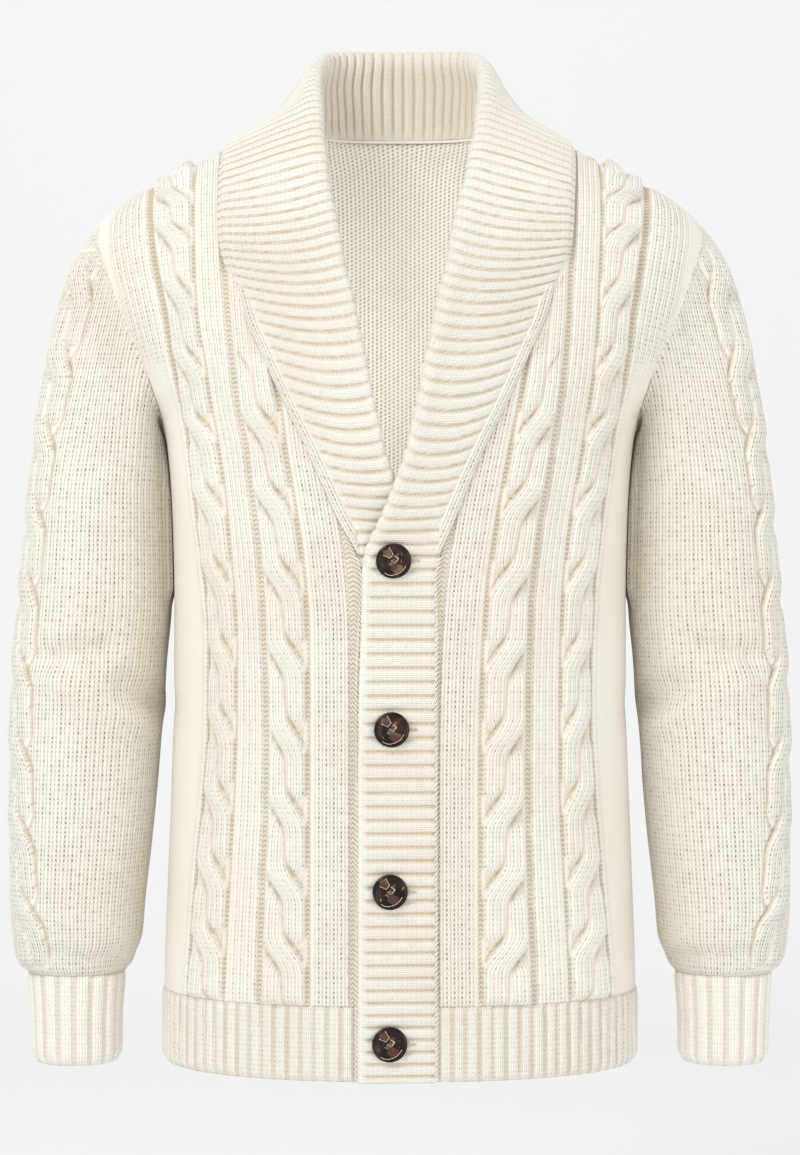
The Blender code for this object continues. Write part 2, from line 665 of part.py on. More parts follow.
def button_mesh(name):
    """Dished round button, turned about Z, its face up."""
    rim = (BUTTON_DISH_RADIUS + BUTTON_RADIUS) / 2
    profile = (
        (0.0, BUTTON_THICK - BUTTON_DISH_DEPTH),
        (BUTTON_DISH_RADIUS, BUTTON_THICK - BUTTON_DISH_DEPTH),
        (rim, BUTTON_THICK),
        (BUTTON_RADIUS, BUTTON_THICK * 0.62),
        (BUTTON_RADIUS * 0.94, BUTTON_THICK * 0.2),
        (BUTTON_RADIUS * 0.80, 0.0),
        (0.0, 0.0),
    )
    mesh = bmesh.new()
    points = [mesh.verts.new((r, 0.0, z)) for r, z in profile]
    for a, b in zip(points, points[1:]):
        mesh.edges.new((a, b))
    data = bpy.data.meshes.new(name)
    mesh.to_mesh(data)
    mesh.free()
    return data


def band_face(x, z):
    """Point on the face of the left band."""
    seam = front_line("centre", z) + front_line("seam", z)
    share = (seam - x) / (front_line("seam", z) + front_line("fold", z))
    at_seam = ply_level("outer", z, 1) + COLLAR_PLY
    at_fold = ply_level("fold", z, 1) + COLLAR_PLY + PLY_GAP / 2
    turn = float(turn_at(abs(x), z))
    side = 1 if x >= 0 else -1
    level = at_seam + (at_fold - at_seam) * share
    return body_point(turn, z, side) + body_normal(turn, z, side) * level


def build_buttons(collection):
    """Four buttons on the face of the left band."""
    for index, (x, z) in enumerate(BUTTON_PLACES, start=1):
        name = "button_%d" % index
        right = band_face(x + BUTTON_RADIUS, z) - band_face(x - BUTTON_RADIUS, z)
        up = band_face(x, z + BUTTON_RADIUS) - band_face(x, z - BUTTON_RADIUS)
        out = unit(np.cross(right, up))
        right = unit(right)
        up = np.cross(out, right)
        here = band_face(x, z) + out * BUTTON_CLEARANCE
        button = add_object(name, button_mesh(name), collection, HORN, 0.25)
        button.matrix_world = Matrix((
            (right[0], up[0], out[0], here[0]),
            (right[1], up[1], out[1], here[1]),
            (right[2], up[2], out[2], here[2]),
            (0, 0, 0, 1),
        ))
        turned = button.modifiers.new("turned", "SCREW")
        turned.axis = "Z"
        turned.steps = BUTTON_STEPS
        turned.render_steps = BUTTON_STEPS
        turned.use_merge_vertices = True
        turned.merge_threshold = 0.00001


def main():
    """Build the whole garment."""
    clear_scene()
    collection = bpy.data.collections.new("shawl_collar_cardigan")
    bpy.context.scene.collection.children.link(collection)
    build_body_panels(collection)
    build_sleeves(collection)
    build_collar(collection)
    build_buttons(collection)


main()
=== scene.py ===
"""Shawl collar cardigan in chunky cable knit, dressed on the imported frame.

Metres, +Z up. The front faces -Y and the wearer's left is +X. Every knitted piece is a thin
closed shell on its solid's form. Its outer side is a fine grid that follows the wales and rows
of the knitting, so that cables, ribs and channels are real relief, and its inner side is coarse.
"""

import logging
import math
from dataclasses import dataclass
from enum import Enum

import bmesh
import bpy
import numpy as np
from mathutils import Matrix, Vector


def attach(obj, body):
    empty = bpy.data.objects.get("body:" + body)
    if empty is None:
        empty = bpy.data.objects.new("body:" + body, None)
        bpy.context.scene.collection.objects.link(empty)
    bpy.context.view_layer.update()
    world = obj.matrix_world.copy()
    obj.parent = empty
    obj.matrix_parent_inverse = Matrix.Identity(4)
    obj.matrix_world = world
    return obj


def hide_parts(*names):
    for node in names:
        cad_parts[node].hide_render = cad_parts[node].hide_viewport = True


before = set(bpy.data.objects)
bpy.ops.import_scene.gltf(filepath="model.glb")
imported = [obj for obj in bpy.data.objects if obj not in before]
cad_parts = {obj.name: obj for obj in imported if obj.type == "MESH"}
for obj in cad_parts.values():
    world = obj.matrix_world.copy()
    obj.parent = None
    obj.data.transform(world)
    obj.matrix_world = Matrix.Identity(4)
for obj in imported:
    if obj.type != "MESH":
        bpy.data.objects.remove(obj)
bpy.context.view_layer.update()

LOG = logging.getLogger("cardigan")

Array = np.ndarray
Spot = tuple[float, float]
Place = tuple[float, float, float]
Colour = tuple[float, float, float, float]
Station = dict[str, float]
Socket = bpy.types.NodeSocket

WALE = 0.0061
ROW = 0.0035
RIB_WALES = 3
RIDGE_SHARE = 0.64
SEAM_GAP = 0.0003
KNIT_WALL = 0.0032
RIB_WALL = 0.0034


class Side(Enum):
    """Side of the wearer."""

    LEFT = 1
    RIGHT = -1

    @property
    def label(self) -> str:
        """The side as it stands in the names of pieces."""
        return self.name.lower()

    @property
    def mirror(self) -> Array:
        """Factors that carry the left side's points over to this side."""
        return np.array([float(self.value), 1.0, 1.0])


class Held(Enum):
    """How a sheet of cloth is held."""

    DRAPED = "draped"
    STRETCHED = "stretched"
    HUNG = "hung"
    FOLDED = "folded"


@dataclass(frozen=True)
class Cut:
    """A sheet of cloth: its flat size, how it is held and the decimals of its area."""

    flat: Spot
    held: Held
    decimals: int | None = 4

    def declare(self, thing: bpy.types.Object, rests_on: tuple[str, ...], area: float) -> None:
        """Work out a piece's area on this sheet, rounded and at most the flat size, or None without
        decimals; it is not passed on.

        Args:
            thing: The piece; not used.
            rests_on: The pieces that carry it; not used.
            area: Area of the piece's outer side.
        """
        most = self.flat[0] * self.flat[1]
        area = None if self.decimals is None else round(min(area, most), self.decimals)


# --------------------------------------------------------------------------- sizes and curves


def smooth(value: Array) -> Array:
    """Ease from 0 to 1 while the value goes from 0 to 1."""
    share = np.clip(value, 0.0, 1.0)
    return share * share * (3 - 2 * share)


def signed_power(value: Array, power: float) -> Array:
    """Power of a magnitude that keeps its sign."""
    return np.sign(value) * np.abs(value) ** power


def unit(vectors: Array) -> Array:
    """Vectors scaled to length 1 along their last axis."""
    return vectors / np.maximum(np.linalg.norm(vectors, axis=-1, keepdims=True), 1e-12)


def near(away: Array, width: float) -> Array:
    """1 where away is 0, falling off softly over a width."""
    return np.exp(-(away / width) ** 2)


def hermite(s: Array, start: Array, end: Array, leave: Array, arrive: Array) -> Array:
    """Cubic curve between two values.

    Args:
        s: Places on the curve, from 0 to 1.
        start: Value at 0.
        end: Value at 1.
        leave: Slope at 0.
        arrive: Slope at 1.

    Returns:
        Values at the places.
    """
    first = (1 + 2 * s) * (1 - s) ** 2 * start + s * (1 - s) ** 2 * leave
    return first + s * s * (3 - 2 * s) * end + s * s * (s - 1) * arrive


def curve_through(places: Array, values: Array, at: Array) -> Array:
    """Smooth curve through points given at growing places.

    Args:
        places: Places of the points, growing.
        values: Points or numbers, one for each place.
        at: Places asked for.

    Returns:
        Values at the places asked for.
    """
    slope = np.gradient(values, places, axis=0)
    at = np.clip(at, places[0], places[-1])
    k = np.clip(np.searchsorted(places, at, side="right") - 1, 0, len(places) - 2)
    step = places[k + 1] - places[k]
    s = (at - places[k]) / step
    shape = (-1,) + (1,) * (np.ndim(values) - 1)
    s, step = s.reshape(shape), step.reshape(shape)
    return hermite(s, values[k], values[k + 1], step * slope[k], step * slope[k + 1])


def even_places(line: Array) -> Array:
    """Distance along a line of points, from 0."""
    return np.concatenate([[0.0], np.cumsum(np.linalg.norm(np.diff(line, axis=0), axis=1))])


def blur(values: Array, times: int, closed: bool) -> Array:
    """Field smoothed over its neighbours.

    Args:
        values: Field on a grid.
        times: How many times each value is mixed with its neighbours.
        closed: Whether the last column meets the first.

    Returns:
        The smoothed field.
    """
    mode = "wrap" if closed else "edge"
    for _ in range(times):
        padded = np.pad(values, ((1, 1), (0, 0)), mode="edge")
        values = (padded[:-2] + 2 * padded[1:-1] + padded[2:]) / 4
        padded = np.pad(values, ((0, 0), (1, 1)), mode=mode)
        values = (padded[:, :-2] + 2 * padded[:, 1:-1] + padded[:, 2:]) / 4
    return values


@dataclass(frozen=True)
class Table:
    """Sizes at a few heights: named columns, and a row for each height."""

    columns: tuple[str, ...]
    rows: tuple[tuple[float, ...], ...]

    def column(self, name: str) -> Array:
        """One column, from the lowest row up."""
        return np.array([row[self.columns.index(name)] for row in self.rows], dtype=float)

    def at(self, name: str, height: Array) -> Array:
        """Smooth curve through one column that never overshoots it.

        Args:
            name: The column.
            height: Heights asked for.

        Returns:
            The column's value at those heights.
        """
        places = self.column(self.columns[0])
        values = self.column(name)
        at = np.clip(height, places[0], places[-1])
        step = np.diff(places)
        rise = np.diff(values) / step
        slope = np.zeros_like(values)
        slope[0], slope[-1] = rise[0], rise[-1]
        both = rise[:-1] * rise[1:] > 0
        heavy = 2 * step[1:] + step[:-1]
        light = step[1:] + 2 * step[:-1]
        low = np.where(both, rise[:-1], 1.0)
        high = np.where(both, rise[1:], 1.0)
        slope[1:-1] = np.where(both, (heavy + light) / (heavy / low + light / high), 0.0)
        k = np.clip(np.searchsorted(places, at, side="right") - 1, 0, len(step) - 1)
        s = (at - places[k]) / step[k]
        return hermite(s, values[k], values[k + 1], step[k] * slope[k], step[k] * slope[k + 1])


# ------------------------------------------------------------------------------------- forms


@dataclass(frozen=True)
class BodyForm:
    """The body's outer surface; turn 0 is centre front, 1 the side and 2 centre back."""

    hem: float = -0.7175
    rib_top: float = -0.6635
    underarm: float = -0.233
    shoulder_tip: float = -0.0837
    power: float = 2.3
    armhole_cut: float = 0.28
    armhole_power: float = 0.4
    seam_trim: float = 0.0005
    neck_drop: float = 0.0075
    neck_ease: float = 0.080
    sizes: Table = Table(
        ("height", "half_width", "front", "back"),
        (
            (-0.7175, 0.1798, 0.1280, 0.1220),
            (-0.6635, 0.1796, 0.1270, 0.1205),
            (-0.577, 0.1769, 0.1245, 0.1165),
            (-0.508, 0.1743, 0.1230, 0.1115),
            (-0.439, 0.1724, 0.1235, 0.1090),
            (-0.370, 0.1722, 0.1255, 0.1095),
            (-0.310, 0.1735, 0.1278, 0.1130),
            (-0.2545, 0.1776, 0.1276, 0.1172),
            (-0.233, 0.1822, 0.1267, 0.1183),
            (-0.2115, 0.1950, 0.1250, 0.1188),
            (-0.184, 0.2115, 0.1218, 0.1190),
            (-0.140, 0.2325, 0.1125, 0.1168),
            (-0.105, 0.2375, 0.0998, 0.1130),
            (-0.0837, 0.2286, 0.0895, 0.1095),
            (-0.0648, 0.2070, 0.0785, 0.1058),
            (-0.044, 0.1668, 0.0650, 0.1010),
            (-0.0271, 0.1345, 0.0535, 0.0960),
            (0.000, 0.0780, 0.0310, 0.0855),
        ),
    )
    front_edge: Table = Table(
        ("height", "centre", "seam", "fold"),
        (
            (-0.7175, -0.0025, 0.0284, 0.0281),
            (-0.440, -0.0025, 0.0284, 0.0281),
            (-0.382, -0.0015, 0.0274, 0.0265),
            (-0.355, -0.0010, 0.0268, 0.0266),
            (-0.345, -0.0010, 0.0278, 0.0262),
            (-0.335, -0.0012, 0.0308, 0.0242),
            (-0.326, -0.0016, 0.0343, 0.0205),
            (-0.310, -0.0026, 0.0385, 0.0115),
            (-0.270, -0.0033, 0.0455, 0.0000),
            (-0.220, -0.0033, 0.0530, 0.0000),
            (-0.160, -0.0033, 0.0615, 0.0000),
            (-0.100, -0.0033, 0.0695, 0.0000),
            (-0.050, -0.0020, 0.0745, 0.0000),
            (0.000, 0.0000, 0.0780, 0.0000),
        ),
    )

    def point(self, turn: Array, height: Array, side: int = 1) -> Array:
        """Points of the surface at turns and heights, on one side.

        Args:
            turn: Turns round the body.
            height: Heights.
            side: 1 for the wearer's left, -1 for the right.

        Returns:
            Points.
        """
        turn, height = np.broadcast_arrays(np.asarray(turn, float), np.asarray(height, float))
        angle = turn * math.pi / 2
        share = 2 / self.power
        front = self.sizes.at("front", height)
        depth = np.where(turn <= 1, front, self.sizes.at("back", height))
        x = side * self.sizes.at("half_width", height) * signed_power(np.sin(angle), share)
        y = -depth * signed_power(np.cos(angle), share)
        return np.stack([x, y, height], axis=-1)

    def normal(self, turn: Array, height: Array, side: int = 1) -> Array:
        """Outward normals of the surface.

        Args:
            turn: Turns round the body.
            height: Heights.
            side: 1 for the wearer's left, -1 for the right.

        Returns:
            Ways out, of length 1.
        """
        turn = np.clip(turn, 0.002, 1.998)
        across = self.point(turn + 0.001, height, side) - self.point(turn - 0.001, height, side)
        up = self.point(turn, height + 0.0003, side) - self.point(turn, height - 0.0003, side)
        return unit(side * np.cross(across, up))

    def turn_at(self, x: Array, height: Array) -> Array:
        """Turn at which the front of the body is x away from the middle."""
        ratio = np.clip(x / self.sizes.at("half_width", height), 0.0, 1.0)
        return np.arcsin(ratio ** (self.power / 2)) * 2 / math.pi

    def armhole_turn(self, height: Array) -> Array:
        """Turn of the armhole seam, 1 below the underarm and above the shoulder tip.

        Args:
            height: Heights.

        Returns:
            A turn for each height.
        """
        middle = (self.underarm + self.shoulder_tip) / 2
        half = (self.shoulder_tip - self.underarm) / 2
        share = np.clip(1 - ((height - middle) / half) ** 2, 0.0, 1.0)
        return 1 - self.armhole_cut * share ** self.armhole_power

    def armhole_height(self, angle: float) -> float:
        """Height of the armhole seam, angle 0 at the shoulder tip and pi under the arm."""
        middle = (self.underarm + self.shoulder_tip) / 2
        return middle + (self.shoulder_tip - self.underarm) / 2 * math.cos(angle)

    def edge(self, height: Array, side: int) -> Array:
        """Distance of a front panel's inner edge from the middle."""
        centre = self.front_edge.at("centre", height)
        return side * centre + self.front_edge.at("seam", height) + SEAM_GAP

    def roundness(self, point: Array) -> float:
        """Superellipse function of the surface: 0 on it, less inside.

        Args:
            point: The point.

        Returns:
            The function's value.
        """
        depth = self.sizes.at("front" if point[1] < 0 else "back", point[2])
        wide = (abs(point[0]) / self.sizes.at("half_width", point[2])) ** self.power
        return (wide + (abs(point[1]) / depth) ** self.power) ** (1 / self.power) - 1

    def distance(self, point: Array) -> tuple[float, Array]:
        """Distance of a point outside the surface, and the way out there.

        Args:
            point: The point.

        Returns:
            The distance, below 0 inside, and the way out.
        """
        small = 0.0002
        steps = np.eye(3) * small
        slope = [self.roundness(point + s) - self.roundness(point - s) for s in steps]
        slope = np.array(slope) / (2 * small)
        length = np.linalg.norm(slope)
        return self.roundness(point) / length, slope / length


BODY = BodyForm()


@dataclass(frozen=True)
class SleeveForm:
    """The sleeve's and the cuff's outer surface on the wearer's left; angle 0 is outside."""

    power: float = 2.1
    cap_lift: float = 0.43
    sleeve: Table = Table(
        ("height", "outer", "inner", "depth", "middle_y"),
        (
            (-0.6567, 0.2823, 0.2088, 0.0380, -0.0170),
            (-0.651, 0.2888, 0.2040, 0.0420, -0.0166),
            (-0.643, 0.2920, 0.2008, 0.0465, -0.0160),
            (-0.628, 0.2938, 0.1965, 0.0505, -0.0148),
            (-0.600, 0.2964, 0.1945, 0.0535, -0.0120),
            (-0.554, 0.2970, 0.1896, 0.0565, -0.0080),
            (-0.508, 0.2972, 0.1854, 0.0585, -0.0040),
            (-0.462, 0.2966, 0.1821, 0.0605, -0.0008),
            (-0.416, 0.2943, 0.1789, 0.0620, 0.0010),
            (-0.3705, 0.2903, 0.1752, 0.0632, 0.0008),
            (-0.300, 0.2838, 0.1768, 0.0640, 0.0000),
        ),
    )
    cuff: Table = Table(
        ("height", "outer", "inner", "depth", "middle_y"),
        (
            (-0.7182, 0.2774, 0.2126, 0.0350, -0.0200),
            (-0.692, 0.2785, 0.2124, 0.0356, -0.0190),
            (-0.669, 0.2800, 0.2110, 0.0366, -0.0178),
            (-0.6571, 0.2815, 0.2096, 0.0376, -0.0170),
        ),
    )

    def tube(self, table: Table, angle: Array, height: Array) -> Array:
        """Points of a tube's section; a quarter turn of the angle is the front.

        Args:
            table: Sizes of the tube at its heights.
            angle: Angles round the tube.
            height: Heights.

        Returns:
            Points.
        """
        angle, height = np.broadcast_arrays(np.asarray(angle, float), np.asarray(height, float))
        outer, inner = table.at("outer", height), table.at("inner", height)
        share = 2 / self.power
        half = (outer - inner) / 2
        x = (outer + inner) / 2 + half * signed_power(np.cos(angle), share)
        deep = table.at("depth", height) * signed_power(np.sin(angle), share)
        return np.stack([x, table.at("middle_y", height) - deep, height], axis=-1)

    def seam_point(self, angle: float) -> Array:
        """Point of the armhole seam on the body.

        Args:
            angle: Place round the armhole.

        Returns:
            The point.
        """
        height = BODY.armhole_height(angle)
        turn = float(BODY.armhole_turn(height))
        return BODY.point(turn if math.sin(angle) >= 0 else 2 - turn, height)

    def seam_normal(self, angle: float) -> Array:
        """Way out of the body at the armhole seam.

        Args:
            angle: Place round the armhole.

        Returns:
            The way out, of length 1.
        """
        height = BODY.armhole_height(angle)
        turn = float(BODY.armhole_turn(height))
        return BODY.normal(turn if math.sin(angle) >= 0 else 2 - turn, height)

    @staticmethod
    def under_share(angle: float) -> float:
        """0 round the front, top and back of the armhole, 1 under the arm."""
        return float(smooth((abs(math.remainder(angle, 2 * math.pi)) - 1.7) / 0.9))

    def seam_way(self, angle: float) -> Array:
        """Direction in which the sleeve leaves the armhole.

        Args:
            angle: Place round the armhole.

        Returns:
            The direction, of length 1.
        """
        along = self.seam_point(angle + 0.02) - self.seam_point(angle - 0.02)
        way = unit(np.cross(along, self.seam_normal(angle)))
        way = way * np.sign(way[0] - way[2])
        under = self.under_share(angle)
        fold = np.array([0.35 + 0.65 * under, -0.3 * math.sin(angle), -0.6 * (1 - under)])
        return unit(way * (1 - under) + unit(fold) * under)

    def cap_line(self, angle: float, shares: Array) -> Array:
        """Line down the cap from the armhole seam to the sleeve's top ring.

        Args:
            angle: Place round the armhole.
            shares: Places along the line, from 0 to 1.

        Returns:
            A point for each share.
        """
        ring = self.sleeve.rows[-1][0]
        way = self.seam_way(angle)
        start = self.seam_point(angle) + way * SEAM_GAP * 2
        end = self.tube(self.sleeve, angle, ring)
        span = np.linalg.norm(end - start)
        under = (1 - math.cos(angle)) / 2
        lifted = np.array([self.cap_lift * (1 - under) ** 2, 0.0, 0.0])
        leave = unit(way + lifted) * span * (0.73 - 0.48 * under)
        arrive = unit(self.tube(self.sleeve, angle, ring - 0.01) - end) * span * 0.9
        return hermite(shares[:, None], start, end, leave, arrive)


ARM = SleeveForm()


def blouse(points: Array) -> Array:
    """Points of a sleeve or cuff, raised where the sleeve blouses over the cuff.

    Args:
        points: Points of the piece.

    Returns:
        The points, moved up near the sleeve's end.
    """
    z = points[..., 2]
    lift = 0.0058 * smooth((-0.600 - z) / 0.05) * smooth((z + 0.718) / 0.06)
    return points + lift[..., None] * np.array([0.0, 0.0, 1.0])


# ------------------------------------------------------------------------------------ meshes


FIELDS = ("lift", "purl", "rib", "ribbing", "calm", "shade", "amount")


def link(name: str, mesh: bpy.types.Mesh) -> bpy.types.Object:
    """New object of a mesh, at the origin and in the scene.

    Args:
        name: Name of the object.
        mesh: Its mesh, lamp or camera.

    Returns:
        The object.
    """
    thing = bpy.data.objects.new(name, mesh)
    bpy.context.scene.collection.objects.link(thing)
    return thing


def mesh_of(name: str, work: bmesh.types.BMesh) -> bpy.types.Mesh:
    """New mesh of a bmesh, which is freed.

    Args:
        name: Name of the mesh.
        work: The bmesh.

    Returns:
        The mesh.
    """
    mesh = bpy.data.meshes.new(name)
    work.to_mesh(mesh)
    work.free()
    return mesh


def store(mesh: bpy.types.Mesh, name: str, values: Array) -> None:
    """Write a number or a vector for each point into a mesh.

    Args:
        mesh: The mesh.
        name: Name of the attribute.
        values: A number or a vector for each point.
    """
    kind, key = ("FLOAT_VECTOR", "vector") if values.ndim == 2 else ("FLOAT", "value")
    layer = mesh.attributes.new(name, kind, "POINT")
    layer.data.foreach_set(key, values.ravel().astype(np.float32))


@dataclass
class KnitShell:
    """One knitted piece: a grid of points with all that its stitches need."""

    points: Array
    out: Array
    wale: Array
    row: Array
    wall: float = KNIT_WALL
    closed: bool = False
    lift: Array | None = None
    purl: Array | None = None
    rib: Array | None = None
    ribbing: Array | None = None
    calm: Array | None = None
    shade: Array | None = None
    amount: Array | None = None
    total: float = 0.0
    block: int = 4

    def __post_init__(self) -> None:
        """Fill in the fields that were left out, and number the grid's cells."""
        rows, columns = self.points.shape[:2]
        for name in FIELDS:
            if getattr(self, name) is None:
                setattr(self, name, np.zeros((rows, columns)))
        self.cells = (rows - 1, columns if self.closed else columns - 1)

    def corners(self, rows: Array, columns: Array) -> Array:
        """Numbers of the four points of cells, anticlockwise seen along the grid's normal.

        Args:
            rows: Rows of the cells.
            columns: Columns of the cells.

        Returns:
            Four point numbers for each cell.
        """
        count = self.points.shape[1]
        right = (columns + 1) % count
        return np.stack(
            [rows * count + columns, rows * count + right,
             (rows + 1) * count + right, (rows + 1) * count + columns], axis=-1)

    def inner_faces(self) -> list[list[int]]:
        """Faces of the inner side: a coarse one for each block, fine ones along the edges.

        Returns:
            Point numbers of each face.
        """
        size, count = self.block, self.points.shape[1]
        high, wide = (n // size for n in self.cells)
        rows, columns = np.indices(self.cells).reshape(2, -1)
        fine = (rows >= high * size) | (columns >= wide * size)
        faces = self.corners(rows[fine], columns[fine]).tolist()
        wraps = self.closed and wide * size == self.cells[1]
        for r, c in np.ndindex(high, wide):
            low, top, left, right = r * size, (r + 1) * size, c * size, (c + 1) * size
            sides = (
                (r > 0, [(low, k) for k in range(left, right)]),
                (wraps or c + 1 < wide, [(k, right) for k in range(low, top)]),
                (r + 1 < high, [(top, k) for k in range(right, left, -1)]),
                (wraps or c > 0, [(k, left) for k in range(top, low, -1)]),
            )
            ring = [p for coarse, places in sides for p in (places[:1] if coarse else places)]
            faces.append([i * count + j % count for i, j in ring])
        return faces

    def rim_edges(self, faces: Array) -> Array:
        """Directed edges that only one of the outer side's faces has.

        Args:
            faces: Faces of the outer side.

        Returns:
            Two point numbers for each edge.
        """
        edges = np.concatenate([faces[:, [k, (k + 1) % 4]] for k in range(4)])
        total = self.wale.size
        key = edges[:, 0] * total + edges[:, 1]
        back = edges[:, 1] * total + edges[:, 0]
        return edges[~np.isin(key, back)]

    def build(self, name: str) -> bpy.types.Object:
        """Closed mesh of the piece, with its UV map and attributes.

        Args:
            name: Name of the piece.

        Returns:
            The piece's object, not yet in relief.
        """
        total = self.wale.size
        outer, out = self.points.reshape(-1, 3), self.out.reshape(-1, 3)
        faces = self.corners(*np.indices(self.cells).reshape(2, -1))
        a, b, c, d = (outer[faces[:, k]] for k in range(4))
        inside_out = float((np.cross(c - a, d - b) * out[faces[:, 0]]).sum()) < 0
        walls = [[a + total, b + total, b, a] for a, b in self.rim_edges(faces)]
        lining = [[v + total for v in face[::-1]] for face in self.inner_faces()]
        polygons = faces.tolist() + lining + walls
        if inside_out:
            polygons = [face[::-1] for face in polygons]
        used = np.zeros(total * 2, dtype=bool)
        used[np.concatenate([np.ravel(p) for p in polygons])] = True
        new = np.cumsum(used) - 1
        mesh = bpy.data.meshes.new(name)
        mesh.from_pydata(np.concatenate([outer, outer - out * self.wall])[used].tolist(), [],
                         [[int(new[v]) for v in face] for face in polygons])
        self.write(mesh, used)
        work = bmesh.new()
        work.from_mesh(mesh)
        bmesh.ops.remove_doubles(work, verts=work.verts, dist=0.00001)
        work.to_mesh(mesh)
        work.free()
        mesh.shade_smooth()
        return link(name, mesh)

    def write(self, mesh: bpy.types.Mesh, used: Array) -> None:
        """Write the knitting's fields and its UV map into a mesh.

        Args:
            mesh: The piece's mesh.
            used: Which of the outer and inner points the mesh has.
        """
        front = np.repeat((1.0, 0.0), self.wale.size)[used]
        store(mesh, "front", front)
        store(mesh, "stitch_wale", np.tile(self.wale.ravel(), 2)[used])
        for name in FIELDS:
            values = np.tile(getattr(self, name).ravel(), 2)[used]
            store(mesh, name, values * front if name == "amount" else values)
        store(mesh, "out", np.tile(self.out.reshape(-1, 3), (2, 1))[used])
        loops = np.zeros(len(mesh.loops), dtype=np.int64)
        mesh.loops.foreach_get("vertex_index", loops)
        spot = np.stack([np.tile(self.wale.ravel(), 2), np.tile(self.row.ravel(), 2)], axis=1)
        spot = spot[used][loops]
        if self.total:
            starts, sizes = (np.zeros(len(mesh.polygons), dtype=np.int64) for _ in range(2))
            mesh.polygons.foreach_get("loop_start", starts)
            mesh.polygons.foreach_get("loop_total", sizes)
            most = np.repeat(np.maximum.reduceat(spot[:, 0], starts), sizes)
            spot[:, 0] += np.where(most - spot[:, 0] > self.total / 2, self.total, 0.0)
        mesh.uv_layers.new(name="knit").data.foreach_set("uv", spot.ravel().astype(np.float32))

    def area(self) -> float:
        """Area of the piece's outer side before it is in relief.

        Returns:
            The area in square metres.
        """
        faces = self.corners(*np.indices(self.cells).reshape(2, -1))
        a, b, c, d = (self.points.reshape(-1, 3)[f] for f in faces.T)
        return float(np.linalg.norm(np.cross(c - a, d - b), axis=1).sum() / 2)


# --------------------------------------------------------------------------------- node trees


class Term:
    """Number in a node tree, reckoned with as plain numbers are."""

    def __init__(self, graph: "Graph", socket: Socket) -> None:
        """Hold a socket of a graph."""
        self.graph = graph
        self.socket = socket

    def __add__(self, other: object) -> "Term":
        """Sum."""
        return self.graph.math("ADD", self, other)

    def __sub__(self, other: object) -> "Term":
        """Difference."""
        return self.graph.math("SUBTRACT", self, other)

    def __rsub__(self, other: object) -> "Term":
        """Difference from a number."""
        return self.graph.math("SUBTRACT", other, self)

    def __mul__(self, other: object) -> "Term":
        """Product."""
        return self.graph.math("MULTIPLY", self, other)

    def __truediv__(self, other: object) -> "Term":
        """Quotient."""
        return self.graph.math("DIVIDE", self, other)

    def __abs__(self) -> "Term":
        """Size without its sign."""
        return self.graph.math("ABSOLUTE", self)


